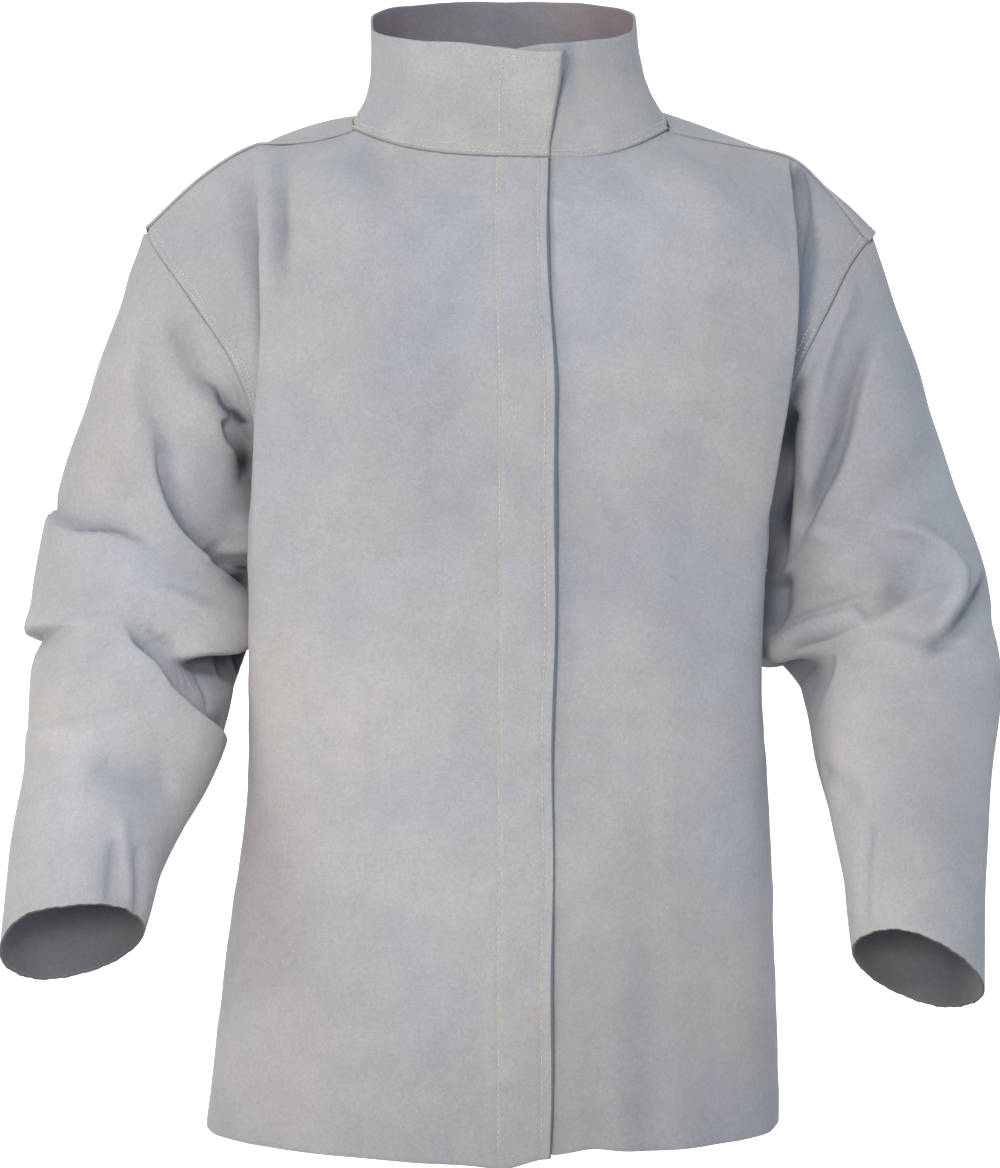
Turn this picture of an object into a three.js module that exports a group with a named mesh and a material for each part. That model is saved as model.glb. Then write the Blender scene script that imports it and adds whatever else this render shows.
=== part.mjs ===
// A split-leather welding jacket as it hangs on a wearer: two front panels, a back panel, two sleeves with
// bent elbows, a stand collar, and the sewn strips that close the front and the collar.
// Millimetres, +Z up, the front faces -Y, the wearer's right is -X. The origin is mid neck base.
import * as THREE from "three";

// Driving dimensions
const WALL = 2.0; // split leather
const STRIP_WALL = 1.5; // closing strips
const GAP = 0.6; // between layers that lie on each other
const SEAM_GAP = 0.8; // between panels that are sewn edge to edge
const SLEEVE_TUCK = 6; // sleeve head under the armhole edge
const SLEEVE_GAP = 1.7; // sleeve head below the panels that cover it
const COLLAR_LAP = 9; // collar edge over the neckline
const FLY_EDGE_X = 35; // edge of the right front, which closes over the left
const UNDER_EDGE_X = -14; // hidden edge of the left front
const UNDER_HEM_RISE = 6; // the left front's hem ends above the right one's
const FLY_BLEND_X = 115; // where the left front is back on the common surface
const FLY_SINK = 2 * WALL + 4.5 * GAP; // left front below the right one, with room for a strip between
const STRIP_EDGES_X = [-2, 31]; // closing strip behind the right front

const COLOUR = { outside: 0xb4b5b8, collar: 0xa9aaad, strip: 0x8d8e93 };
const ROUGHNESS = 0.95;

// Neck: an oval ring, seen from above, that climbs from the throat to the nape
const NECK = {
  x: 5,
  halfWidth: 112,
  frontY: -85,
  sideY: -20,
  backY: 72,
  frontZ: -24.6,
  sideZ: -2,
  backZ: 22,
};
const NECK_DIP_POWER = 3; // how late the ring leaves its sides' height
const COLLAR_TOP = { x: 0, halfWidth: 96, y: 2, halfDepth: 78, sideZ: 73, climb: 22, squareness: 0.75 };
const COLLAR_FLARE = { right: 4, left: 2 }; // how soon the collar turns upright above its seam, by side

// Rows of a table as objects with the columns' names
function table(columns, rows) {
  return rows.map((row) => Object.fromEntries(columns.map((name, i) => [name, row[i]])));
}

// Middle of the front and back at each level, from the hem up to the collarbone.
// mid is the line below the neck's shoulder point, blade the same line on the back, corner the back's turn
// to the side.
const LEVELS = table(
  [
    "name", "zFront", "yFront", "zMid", "zBack", "yBack", "xBlade", "yBlade", "zBlade",
    "xCorner", "yCorner", "zCorner",
  ],
  [
    ["hem", -732, -150, -730, -728, 142, 115, 132, -728, 178, 98, -729],
    ["seat", -600, -147, -600, -600, 138, 110, 129, -600, 170, 97, -600],
    ["hip", -480, -143, -480, -480, 133, 105, 126, -480, 160, 96, -480],
    ["waist", -375, -140, -375, -375, 128, 102, 122, -375, 155, 94, -375],
    ["underarm", -290, -139, -290, -290, 130, 102, 125, -290, 156, 96, -290],
    ["chest", -225, -139, -222, -220, 133, 104, 129, -220, 160, 106, -222],
    ["armhole", -165, -137, -158, -150, 132, 106, 126, -148, 168, 108, -152],
    ["upper chest", -112, -128, -98, -85, 124, 108, 104, -70, 178, 90, -88],
    ["collarbone", -66, -108, -42, -25, 103, 110, 54, 4, 186, 50, -13],
  ],
);

// Side of each front panel at the same levels. fold is the line where the panel turns back towards the arm,
// dip the hollow behind it, front the panel's outer edge (side seam, then armhole) and back the back
// panel's edge.
const RIGHT_SIDE = table(
  [
    "xFold", "yFold", "zFold", "xDip", "yDip", "xFront", "yFront", "zFront", "xBack",
    "yBack", "zBack",
  ],
  [
    [-208, -82, -725, -217, -32, -209, 20, -722, -209, 20, -722],
    [-193, -86, -600, -202, -36, -195, 18, -600, -195, 18, -600],
    [-179, -90, -480, -184, -42, -180, 15, -480, -180, 15, -480],
    [-178, -92, -375, -179, -45, -172, 12, -375, -172, 12, -375],
    [-178, -96, -290, -176, -50, -171, 4, -290, -171, 4, -290],
    [-177, -100, -225, -171, -68, -174, -42, -236, -180, 52, -232],
    [-173, -102, -165, -171, -74, -189, -64, -178, -200, 78, -172],
    [-171, -92, -112, -176, -66, -218, -48, -133, -226, 66, -125],
    [-172, -66, -62, -188, -48, -243, -24, -101, -251, 37, -87],
  ],
);
const LEFT_SIDE = table(
  [
    "xFold", "yFold", "zFold", "xDip", "yDip", "xFront", "yFront", "zFront", "xBack",
    "yBack", "zBack",
  ],
  [
    [185, -92, -723, 201, -38, 200, 20, -721, 200, 20, -721],
    [184, -94, -600, 198, -42, 192, 18, -600, 192, 18, -600],
    [182, -95, -480, 191, -46, 184, 15, -480, 184, 15, -480],
    [181, -96, -375, 184, -48, 177, 12, -375, 177, 12, -375],
    [186, -98, -290, 182, -55, 176, 4, -290, 176, 4, -290],
    [197, -100, -225, 188, -70, 190, -46, -234, 188, 52, -230],
    [207, -100, -165, 203, -74, 212, -68, -174, 210, 78, -170],
    [210, -92, -112, 210, -68, 232, -52, -133, 232, 66, -125],
    [208, -68, -66, 218, -50, 252, -26, -98, 256, 37, -88],
  ],
);
// Shoulder seam: from the neck's shoulder point through the top of the fold to the shoulder tip
const [RIGHT_SHOULDER, LEFT_SHOULDER] = table(
  ["xFold", "yFold", "zFold", "xDip", "yDip", "zDip", "xTip", "yTip", "zTip"],
  [
    [-177, -20, -20, -213, -17, -37, -264, -2, -77],
    [207, -20, -26, 236, -16, -46, 270, -2, -77],
  ],
);

// Sleeve sections from below the armhole to the cuff. across and deep are half sizes; slant carries the outer
// side down the arm and lean carries the back side down it.
const RIGHT_SLEEVE = table(
  ["name", "x", "y", "z", "across", "deep", "slant", "lean"],
  [
    ["upper arm", -244, 6, -250, 73, 70, -52, 0],
    ["above elbow", -255, 8, -290, 73, 68, -24, 0],
    ["elbow", -264, 0, -344, 81, 66, -6, 0],
    ["roll", -265, -18, -377, 79, 66, 0, 0],
    ["below elbow", -269, -36, -402, 74, 64, 2, 0],
    ["forearm", -275, -80, -459, 66, 60, 6, 2],
    ["lower forearm", -291, -120, -514, 55, 56, 14, 5],
    ["cuff", -301, -150, -574, 48, 52, 18, 10],
  ],
);
const LEFT_SLEEVE = table(
  ["name", "x", "y", "z", "across", "deep", "slant", "lean"],
  [
    ["upper arm", 248, 6, -250, 74, 70, -52, 0],
    ["above elbow", 259, 8, -290, 75, 68, -24, 0],
    ["elbow", 272, 0, -344, 84, 66, -6, 0],
    ["roll", 273, -18, -377, 85, 66, 8, 0],
    ["below elbow", 286, -36, -402, 73, 64, 18, 0],
    ["forearm", 287, -80, -460, 62, 60, 6, 2],
    ["lower forearm", 288, -120, -518, 52, 56, 12, 5],
    ["cuff", 290, -150, -594, 45, 52, 17, 10],
  ],
);

// Folds of the sleeves, each a line through three places. at counts sections down from the armhole, round is
// in degrees from the outer side over the front to the inner side, rise is out of the cloth, wide the spread
// beside the line.
const RIGHT_FOLDS = table(
  ["name", "at", "round", "rise", "wide"],
  [
    ["ridge from the shoulder", [0.3, 0.8, 1.2], [11, 60, 72], 4, 12],
    ["armpit crease", [0.2, 0.25, 0.2], [70, 90, 120], -7, 12],
    ["crease over the roll", [0.8, 1.4, 2.2], [86, 113, 138], -12, 13],
    ["notch above the elbow", [2.12, 2.4, 2.32], [-10, 64, 95], -7, 9],
    ["elbow roll", [2.85, 3.75, 3.95], [75, 113, 155], 9, 20],
    ["ridge over the notch", [3.9, 4.3, 4.4], [0, 50, 80], 5, 11],
    ["notch under the elbow", [4.4, 4.85, 4.95], [-10, 50, 86], -9, 9],
    ["slanting crease", [4.95, 5.4, 5.75], [90, 114, 145], -9, 11],
    ["pocket under the roll", [4.8, 5.2, 5.5], [150, 145, 152], -10, 16],
    ["forearm ridge", [5.3, 6.0, 5.75], [0, 75, 120], 5, 16],
  ],
);
const LEFT_FOLDS = table(
  ["name", "at", "round", "rise", "wide"],
  [
    ["pleat from the shoulder", [0.2, 0.6, 0.7], [45, 86, 131], -10, 12],
    ["crease beside the body", [0.35, 0.45, 0.5], [120, 132, 145], -6, 12],
    ["bulge over the roll", [2.5, 2.75, 2.75], [85, 105, 125], 5, 20],
    ["elbow roll", [3.95, 3.85, 3.6], [150, 113, 86], 8, 12],
    ["valley behind the roll", [4.4, 3.75, 3.25], [101, 83, 68], -8, 12],
    ["outer ridge", [2.35, 2.75, 4.05], [75, 53, 45], 5, 11],
    ["outer valley", [3.05, 4.25, 5.2], [20, 41, 60], -7, 12],
    ["ridge under the elbow", [4.95, 5.3, 5.2], [109, 75, 19], 5, 12],
  ],
);

// Steps of the facets between the landmarks of a panel, between its levels, along a sleeve and up the collar
const LEVEL_STEPS = [4, 4, 3, 3, 3, 2, 2, 3, 2];
const FRONT_STEPS = [1, 2, 2, 2, 2, 2];
const BACK_STEPS = [3, 3, 2, 2, 2, 2, 3, 3];
const SLEEVE_STEPS = [3, 2, 4, 3, 2, 3, 2, 3];
const COLLAR_ROWS = [0, 0.12, 0.3, 0.6, 1];
const COLLAR_COLUMNS = 44;
const UNDERARM = 4; // index of the level where the armhole starts

const V = (x, y, z) => new THREE.Vector3(x, y, z);
const lerp = THREE.MathUtils.lerp;
const smooth = THREE.MathUtils.smoothstep;
const radians = THREE.MathUtils.degToRad;
const curveThrough = (points) => new THREE.CatmullRomCurve3(points, false, "centripetal");

// A list of parameters from 0 to 1 with the given number of steps in each equal interval.
function spaced(steps) {
  const at = [0];
  steps.forEach((count, i) => {
    for (let k = 1; k <= count; k++) at.push((i + k / count) / steps.length);
  });
  return at;
}

// Point on the neck's ring. turn is 0 at the throat and grows towards the wearer's left, in radians.
function neckPoint(turn) {
  const depth = Math.cos(turn) > 0 ? NECK.sideY - NECK.frontY : NECK.backY - NECK.sideY;
  const drop = Math.cos(turn) > 0 ? NECK.frontZ - NECK.sideZ : NECK.backZ - NECK.sideZ;
  const toMiddle = 1 - Math.abs(Math.sin(turn)) ** NECK_DIP_POWER;
  return V(
    NECK.x + NECK.halfWidth * Math.sin(turn),
    NECK.sideY - depth * Math.cos(turn),
    NECK.sideZ + drop * toMiddle,
  );
}
const neckTurn = (x) => Math.asin((x - NECK.x) / NECK.halfWidth);

// Front panel: landmarks across it are its edge, the middle, the neck line, the mid line, the fold, the dip
// and the seam. The neck and mid lines are shares of the way from the middle to the fold.
const FRONT_MARKS = 7;
const SHOULDER_MARK = 3; // the mid line, which ends at the neck's shoulder point
const EDGE_SET_BACK = 0.5;
const NECK_LINE = { across: 0.38, back: 0.07, rise: 0.4, turn: 0.45 };
const MID_LINE = { across: 0.7, back: 0.34, fall: 0.1 };
function frontLevel(level, side, edgeX) {
  const across = side.xFold;
  const back = side.yFold - level.yFront;
  const fall = side.zFold - level.zMid;
  return curveThrough([
    V(edgeX, level.yFront + EDGE_SET_BACK, level.zFront),
    V(0, level.yFront, level.zFront),
    V(
      NECK_LINE.across * across,
      level.yFront + NECK_LINE.back * back,
      lerp(level.zFront, level.zMid, NECK_LINE.rise),
    ),
    V(MID_LINE.across * across, level.yFront + MID_LINE.back * back, level.zMid + MID_LINE.fall * fall),
    V(across, side.yFold, side.zFold),
    V(side.xDip, side.yDip, lerp(side.zFold, side.zFront, 0.5)),
    V(side.xFront, side.yFront, side.zFront),
  ]);
}

// The panel's top edge: the neckline to the shoulder point, then the shoulder seam to the tip.
function frontTop(shoulder, edgeX, s) {
  const mark = s * (FRONT_MARKS - 1);
  const sideTurn = (Math.sign(shoulder.xTip) * Math.PI) / 2;
  const turns = [neckTurn(edgeX), neckTurn(0), NECK_LINE.turn * sideTurn, sideTurn];
  if (mark <= SHOULDER_MARK) {
    const i = Math.min(SHOULDER_MARK - 1, Math.floor(mark));
    return neckPoint(lerp(turns[i], turns[i + 1], mark - i));
  }
  return shoulderSeam(shoulder).getPoint((mark - SHOULDER_MARK) / (FRONT_MARKS - 1 - SHOULDER_MARK));
}
function shoulderSeam(shoulder) {
  const point = neckPoint((Math.sign(shoulder.xTip) * Math.PI) / 2);
  return curveThrough([
    point,
    V(shoulder.xFold, shoulder.yFold, shoulder.zFold),
    V(shoulder.xDip, shoulder.yDip, shoulder.zDip),
    V(shoulder.xTip, shoulder.yTip, shoulder.zTip),
  ]);
}

// Point at t on the line up a panel through its levels. Near the side the line breaks at the underarm, by
// cornered from 0 to 1, so that the side seam below is one curve for the front and the back.
const SEAM_ZONE = 0.83;
function upPanel(points, t, cornered) {
  const whole = curveThrough(points).getPoint(t);
  if (cornered === 0) return whole;
  const breakAt = UNDERARM / (points.length - 1);
  const below = t <= breakAt;
  const part = curveThrough(below ? points.slice(0, UNDERARM + 1) : points.slice(UNDERARM));
  const local = below ? t / breakAt : (t - breakAt) / (1 - breakAt);
  return whole.lerp(part.getPoint(Math.min(1, local)), cornered);
}

// A front panel's surface: s runs from its closing edge to the side, t from the hem to the top.
function frontSurface(sides, shoulder, edgeX, hemRise) {
  const [hem, ...above] = LEVELS;
  const raised = { ...hem, zFront: hem.zFront + hemRise, zMid: hem.zMid + hemRise };
  const rows = [raised, ...above].map((level, i) => frontLevel(level, sides[i], edgeX));
  return (s, t) => {
    const points = [...rows.map((row) => row.getPoint(s)), frontTop(shoulder, edgeX, s)];
    return upPanel(points, t, smooth(s, SEAM_ZONE, 1));
  };
}

// The back panel's surface: s runs from the right side seam to the left one, t from the hem to the top. Each
// shoulder takes two of the eight spans between its landmarks.
const BACK_SPANS = 8;
const SHOULDER_SPANS = 2;
const BACK_SHOULDER = SHOULDER_SPANS / BACK_SPANS;
const BETWEEN = { along: 0.55, out: 0.16 }; // landmark between the nape's line and the blade
function backLevel(level, right, left) {
  const nape = V(0, level.yBack, level.zBack);
  const half = (side, sign) => {
    const blade = V(sign * level.xBlade, level.yBlade, level.zBlade);
    const between = nape.clone().lerp(blade, BETWEEN.along);
    between.y += BETWEEN.out * (level.yBack - level.yBlade);
    return [
      V(side.xBack, side.yBack, side.zBack),
      V(sign * level.xCorner, level.yCorner, level.zCorner),
      blade,
      between,
    ];
  };
  return curveThrough([...half(right, -1), nape, ...half(left, 1).reverse()]);
}
function backTop(s) {
  const toSeam = Math.min(s, 1 - s) / BACK_SHOULDER;
  if (toSeam < 1) return shoulderSeam(s < 0.5 ? RIGHT_SHOULDER : LEFT_SHOULDER).getPoint(1 - toSeam);
  return neckPoint(-Math.PI / 2 - ((s - BACK_SHOULDER) / (1 - 2 * BACK_SHOULDER)) * Math.PI);
}
function backSurface() {
  const rows = LEVELS.map((level, i) => backLevel(level, RIGHT_SIDE[i], LEFT_SIDE[i]));
  return (s, t) => {
    const points = [...rows.map((row) => row.getPoint(s)), backTop(s)];
    return upPanel(points, t, smooth(Math.abs(2 * s - 1), SEAM_ZONE, 1));
  };
}

// Unit normal of a surface at s and t, pointing out of the jacket.
const SURFACE_STEP = 0.004;
function outward(surface, s, t, hand) {
  const step = SURFACE_STEP;
  const across = surface(Math.min(1, s + step), t).sub(surface(Math.max(0, s - step), t));
  const up = surface(s, Math.min(1, t + step)).sub(surface(s, Math.max(0, t - step)));
  return across.cross(up).normalize().multiplyScalar(hand);
}

const RIGHT_HAND = -1; // s runs to the wearer's right on this front, so its normal is turned round
const LEFT_HAND = 1;
const BACK_HAND = -1;
const frontRight = frontSurface(RIGHT_SIDE, RIGHT_SHOULDER, FLY_EDGE_X, 0);
const frontLeft = frontSurface(LEFT_SIDE, LEFT_SHOULDER, UNDER_EDGE_X, UNDER_HEM_RISE);
const back = backSurface();

// Layers of the fly: the left front lies below the right one and the strip, and comes out again beside them.
function flySink(point) {
  return FLY_SINK * (1 - smooth(point.x, FLY_EDGE_X, FLY_BLEND_X));
}

// A grid of { point, normal } on a surface, moved in along the normal by sink(point).
function surfaceGrid(surface, columns, rows, hand, sink = () => 0) {
  return rows.map((t) =>
    columns.map((s) => {
      const point = surface(s, t);
      const normal = outward(surface, s, t, hand);
      return { point: point.clone().addScaledVector(normal, -sink(point)), normal };
    }),
  );
}

// A closed wall of leather from a grid of its outside. closed joins the last column to the first.
function wall(grid, thickness, hand, closed = false) {
  const rows = grid.length;
  const columns = grid[0].length;
  const position = [];
  const inside = rows * columns;
  grid.flat().forEach(({ point }) => position.push(point.x, point.y, point.z));
  grid.flat().forEach(({ point, normal }) => {
    const inner = point.clone().addScaledVector(normal, -thickness);
    position.push(inner.x, inner.y, inner.z);
  });
  const index = [];
  const triangle = (a, b, c) => (hand > 0 ? index.push(a, b, c) : index.push(a, c, b));
  const rim = (a, b) => {
    triangle(a, b, b + inside);
    triangle(a, b + inside, a + inside);
  };
  const at = (row, column) => row * columns + (column % columns);
  const place = (k) => new THREE.Vector3().fromArray(position, 3 * k);
  const spans = closed ? columns : columns - 1;
  for (let i = 0; i + 1 < rows; i++)
    for (let j = 0; j < spans; j++) {
      const [a, b, c, d] = [at(i, j), at(i, j + 1), at(i + 1, j + 1), at(i + 1, j)];
      const shorter = place(a).distanceTo(place(c)) < place(b).distanceTo(place(d));
      for (const [p, q, r] of shorter ? [[a, b, c], [a, c, d]] : [[a, b, d], [b, c, d]]) {
        triangle(p, q, r);
        triangle(p + inside, r + inside, q + inside);
      }
    }
  for (let j = 0; j < spans; j++) {
    rim(at(0, j + 1), at(0, j));
    rim(at(rows - 1, j), at(rows - 1, j + 1));
  }
  if (!closed)
    for (let i = 0; i + 1 < rows; i++) {
      rim(at(i, 0), at(i + 1, 0));
      rim(at(i + 1, columns - 1), at(i, columns - 1));
    }
  const geometry = new THREE.BufferGeometry();
  geometry.setAttribute("position", new THREE.Float32BufferAttribute(position, 3));
  geometry.setIndex(index);
  geometry.computeVertexNormals();
  return geometry;
}

const LEVEL_ROWS = spaced(LEVEL_STEPS);
const FRONT_COLUMNS = spaced(FRONT_STEPS);
const BACK_COLUMNS = spaced(BACK_STEPS);
const UNDERARM_T = UNDERARM / LEVEL_STEPS.length;
const SHOULDER_S = SHOULDER_MARK / (FRONT_MARKS - 1); // where a front panel's top edge leaves the neck
const NEAR = 1e-6;

// Draws a panel's edge back from its seam by half the seam's gap, and turns both edges to one common normal.
function meetAlong(cells, neighbours, towards) {
  cells.forEach((cell, i) => {
    const common = cell.normal.clone().add(neighbours[i].normal).normalize();
    const away = towards[i].point.clone().sub(cell.point);
    away.addScaledVector(common, -away.dot(common)).setLength(SEAM_GAP / 2);
    cell.moved = { point: cell.point.clone().add(away), normal: common };
  });
}
function settle(...grids) {
  grids.flat(2).forEach((cell) => {
    if (cell.moved) Object.assign(cell, cell.moved);
  });
}

// Panels, with their side and shoulder seams drawn to a common gap
function panelGrids() {
  const right = surfaceGrid(frontRight, FRONT_COLUMNS, LEVEL_ROWS, RIGHT_HAND);
  const left = surfaceGrid(frontLeft, FRONT_COLUMNS, LEVEL_ROWS, LEFT_HAND, flySink);
  const rear = surfaceGrid(back, BACK_COLUMNS, LEVEL_ROWS, BACK_HAND);
  const lowRows = LEVEL_ROWS.map((t, i) => i).filter((i) => LEVEL_ROWS[i] <= UNDERARM_T + NEAR);
  const lastFront = FRONT_COLUMNS.length - 1;
  const lastBack = BACK_COLUMNS.length - 1;
  const column = (grid, j) => lowRows.map((i) => grid[i][j]);
  for (const [front, edge, inner] of [[right, 0, 1], [left, lastBack, lastBack - 1]]) {
    meetAlong(column(front, lastFront), column(rear, edge), column(front, lastFront - 1));
    meetAlong(column(rear, edge), column(front, lastFront), column(rear, inner));
  }
  const top = LEVEL_ROWS.length - 1;
  const seamOfFront = FRONT_COLUMNS.map((s, j) => j).filter((j) => FRONT_COLUMNS[j] >= SHOULDER_S - NEAR);
  for (const [front, mirrored] of [[right, false], [left, true]]) {
    const frontCells = seamOfFront.map((j) => front[top][j]);
    const below = seamOfFront.map((j) => front[top - 1][j]);
    const steps = seamOfFront.map((j) => {
      const along = (FRONT_COLUMNS[j] - SHOULDER_S) / (1 - SHOULDER_S);
      const s = mirrored ? 1 - BACK_SHOULDER * (1 - along) : BACK_SHOULDER * (1 - along);
      return { point: back(s, 1), normal: outward(back, s, 1, BACK_HAND) };
    });
    meetAlong(frontCells, steps, below);
  }
  const onShoulder = (s) => Math.abs(s - 0.5) >= 0.5 - BACK_SHOULDER - NEAR;
  const seamOfBack = BACK_COLUMNS.map((s, j) => j).filter((j) => onShoulder(BACK_COLUMNS[j]));
  const backCells = seamOfBack.map((j) => rear[top][j]);
  const facing = seamOfBack.map((j) => {
    const s = BACK_COLUMNS[j];
    const onRight = s < 0.5;
    const along = 1 - (onRight ? s : 1 - s) / BACK_SHOULDER;
    const t = SHOULDER_S + along * (1 - SHOULDER_S);
    return { normal: onRight ? outward(frontRight, t, 1, RIGHT_HAND) : outward(frontLeft, t, 1, LEFT_HAND) };
  });
  meetAlong(backCells, facing, seamOfBack.map((j) => rear[top - 1][j]));
  settle(right, left, rear);
  return { right, left, rear };
}

// Armhole: cells from the shoulder tip down the front to the underarm and up the back, each below the panel
// that covers it. edge lies under the panel's edge, tucked further in and clear just past it.
const CLEAR_TIP = 2; // how far the sleeve runs on past the armhole edge before it turns, at the shoulder tip
const CLEAR_PIT = 12; // the same at the underarm
const CORNER_SINK = 0.8; // deeper still where the two panels meet
function armholeRing(front, frontHand, backEdge, side) {
  const rows = LEVEL_ROWS.filter((t) => t >= UNDERARM_T - NEAR);
  const cell = (surface, s, t, hand) => {
    const normal = outward(surface, s, t, hand);
    return { edge: surface(s, t).addScaledVector(normal, -WALL - SLEEVE_GAP), normal };
  };
  const shared = (a, b) => {
    const normal = a.normal.clone().add(b.normal).normalize();
    return { edge: a.edge.clone().lerp(b.edge, 0.5).addScaledVector(normal, -CORNER_SINK), normal };
  };
  const frontHalf = rows.map((t) => cell(front, 1, t, frontHand)).reverse();
  const backHalf = rows.map((t) => cell(back, backEdge, t, BACK_HAND));
  const tip = shared(frontHalf[0], backHalf[backHalf.length - 1]);
  const pit = shared(frontHalf[frontHalf.length - 1], backHalf[0]);
  const ring = [tip, ...frontHalf.slice(1, -1), pit, ...backHalf.slice(1, -1)];
  return ring.map(({ edge, normal }, j) => {
    const before = ring[(j + ring.length - 1) % ring.length].edge;
    const along = ring[(j + 1) % ring.length].edge.clone().sub(before);
    const out = along.cross(normal).normalize().multiplyScalar(-side);
    const low = 0.5 - 0.5 * Math.cos((2 * Math.PI * j) / ring.length);
    return {
      edge,
      normal,
      tucked: edge.clone().addScaledVector(out, -SLEEVE_TUCK),
      clear: edge.clone().addScaledVector(out, lerp(CLEAR_TIP, CLEAR_PIT, low ** 2)),
    };
  });
}

// How far the folds lift the cloth at a place on the sleeve. stops are the sections' distances down the arm.
function foldRise(folds, at, round, stops) {
  const down = (a) => {
    const i = Math.min(stops.length - 2, Math.floor(a));
    return lerp(stops[i], stops[i + 1], a - i);
  };
  const place = (a, r) => new THREE.Vector2(down(a), radians(r) * SLEEVE_RADIUS);
  const here = place(at, round);
  return folds.reduce((sum, fold) => {
    const line = fold.at.map((a, i) => place(a, fold.round[i]));
    const aside = Math.min(gapToSegment(here, line[0], line[1]), gapToSegment(here, line[1], line[2]));
    return sum + fold.rise * Math.exp(-((aside / fold.wide) ** 2));
  }, 0);
}
function gapToSegment(here, start, end) {
  const run = end.clone().sub(start);
  const along = THREE.MathUtils.clamp(here.clone().sub(start).dot(run) / run.lengthSq(), 0, 1);
  return here.distanceTo(start.clone().addScaledVector(run, along));
}

// A sleeve: the armhole's ring, then oval sections square to the arm, with the folds laid over them.
const SLEEVE_RADIUS = 68; // at the elbow, to measure the folds' spread
const FOLD_FADE = 0.2; // the folds start below the armhole, over this share of a section
function sleeveGrid(sections, folds, ring, side) {
  const count = ring.length;
  const centres = sections.map((c) => V(c.x, c.y, c.z));
  const armPit = ring.reduce((sum, cell) => sum.add(cell.edge), V(0, 0, 0)).divideScalar(count);
  const path = curveThrough([armPit, ...centres]);
  const stops = [0];
  [armPit, ...centres].reduce((last, next) => {
    stops.push(stops[stops.length - 1] + last.distanceTo(next));
    return next;
  });
  const loops = sections.map((section, i) => {
    const down = path.getTangent((i + 1) / sections.length);
    const ahead = V(0, -1, 0).addScaledVector(down, down.y).normalize();
    const outer = ahead.clone().cross(down).multiplyScalar(side);
    return ring.map((cell, j) => {
      const round = (2 * Math.PI * j) / count;
      return centres[i]
        .clone()
        .addScaledVector(outer, section.across * Math.cos(round))
        .addScaledVector(ahead, section.deep * Math.sin(round))
        .addScaledVector(down, section.slant * Math.cos(round) - section.lean * Math.sin(round));
    });
  });
  const strands = ring.map((cell, j) => curveThrough([cell.clear, ...loops.map((loop) => loop[j])]));
  const stations = spaced(SLEEVE_STEPS);
  const smoothRows = stations.map((t) => strands.map((strand) => strand.getPoint(t)));
  const grid = smoothRows.map((row, i) =>
    row.map((point, j) => {
      const before = smoothRows[Math.max(0, i - 1)][j];
      const after = smoothRows[Math.min(smoothRows.length - 1, i + 1)][j];
      const alongRow = row[(j + 1) % count].clone().sub(row[(j + count - 1) % count]);
      const normal = alongRow.cross(after.clone().sub(before)).normalize().multiplyScalar(side);
      const at = stations[i] * sections.length;
      const turn = (360 * j) / count;
      const round = turn > 270 ? turn - 360 : turn;
      const fade = smooth(at, 0, FOLD_FADE);
      const lifted = point.clone().addScaledVector(normal, fade * foldRise(folds, at, round, stops));
      return { point: lifted, normal };
    }),
  );
  grid[0] = ring.map((cell, j) => {
    const normal = cell.normal.clone().add(grid[0][j].normal).normalize();
    return { point: cell.clear, normal };
  });
  grid.unshift(ring.map((cell) => ({ point: cell.edge, normal: cell.normal })));
  grid.unshift(ring.map((cell) => ({ point: cell.tucked, normal: cell.normal })));
  return grid;
}

// Collar: turn runs from the hidden end under the overlap, round the neck, to the outer end.
const OVER_END = 2 * Math.PI + neckTurn(FLY_EDGE_X - 1);
const UNDER_END = neckTurn(UNDER_EDGE_X);
const COLLAR_LIFT = 2.8; // the collar's lap above the panels
const COLLAR_LAYER = 2 * WALL + COLLAR_LIFT + 2 * GAP; // hidden end below the outer one and the right front
const LAP_T = 0.933; // where on a panel the lap lies
const TURN_HEIGHT = 0.35; // the collar has turned upright by this share of its height
const LIFT_HEIGHT = 0.5; // and come down to one wall's offset by this one
const COLLAR_STEP = 0.01;
function panelNearNeck(turn) {
  const round = Math.atan2(Math.sin(turn), Math.cos(turn));
  const mark = (from, to, firstMark) => (firstMark + (round - from) / (to - from)) / (FRONT_MARKS - 1);
  if (Math.abs(round) > Math.PI / 2) {
    const behind = round < 0 ? -round - Math.PI / 2 : 1.5 * Math.PI - round;
    const s = BACK_SHOULDER + ((1 - 2 * BACK_SHOULDER) * behind) / Math.PI;
    return { surface: back, s, t: LAP_T, hand: BACK_HAND };
  }
  const side = round < neckTurn(0) ? -1 : 1;
  const quarter = (side * Math.PI) / 2;
  const neckLine = NECK_LINE.turn * quarter;
  const s = side * round < side * neckLine ? mark(neckTurn(0), neckLine, 1) : mark(neckLine, quarter, 2);
  return side < 0
    ? { surface: frontRight, s, t: LAP_T, hand: RIGHT_HAND }
    : { surface: frontLeft, s, t: LAP_T, hand: LEFT_HAND };
}
function collarPoint(turn, height) {
  const base = neckPoint(turn);
  const ahead = Math.cos(turn);
  const top = V(
    COLLAR_TOP.x + COLLAR_TOP.halfWidth * Math.sin(turn),
    COLLAR_TOP.y - COLLAR_TOP.halfDepth * ahead,
    COLLAR_TOP.sideZ - COLLAR_TOP.climb * Math.sign(ahead) * Math.abs(ahead) ** COLLAR_TOP.squareness,
  );
  const flare = lerp(COLLAR_FLARE.right, COLLAR_FLARE.left, 0.5 + 0.5 * Math.sin(turn));
  const lean = (1 - height) ** flare;
  return V(lerp(top.x, base.x, lean), lerp(top.y, base.y, lean), lerp(base.z, top.z, height));
}
function collarSink(turn) {
  if (turn > Math.PI / 2) return 0;
  return COLLAR_LAYER * (1 - smooth(neckPoint(turn).x, FLY_EDGE_X, FLY_BLEND_X));
}
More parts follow.
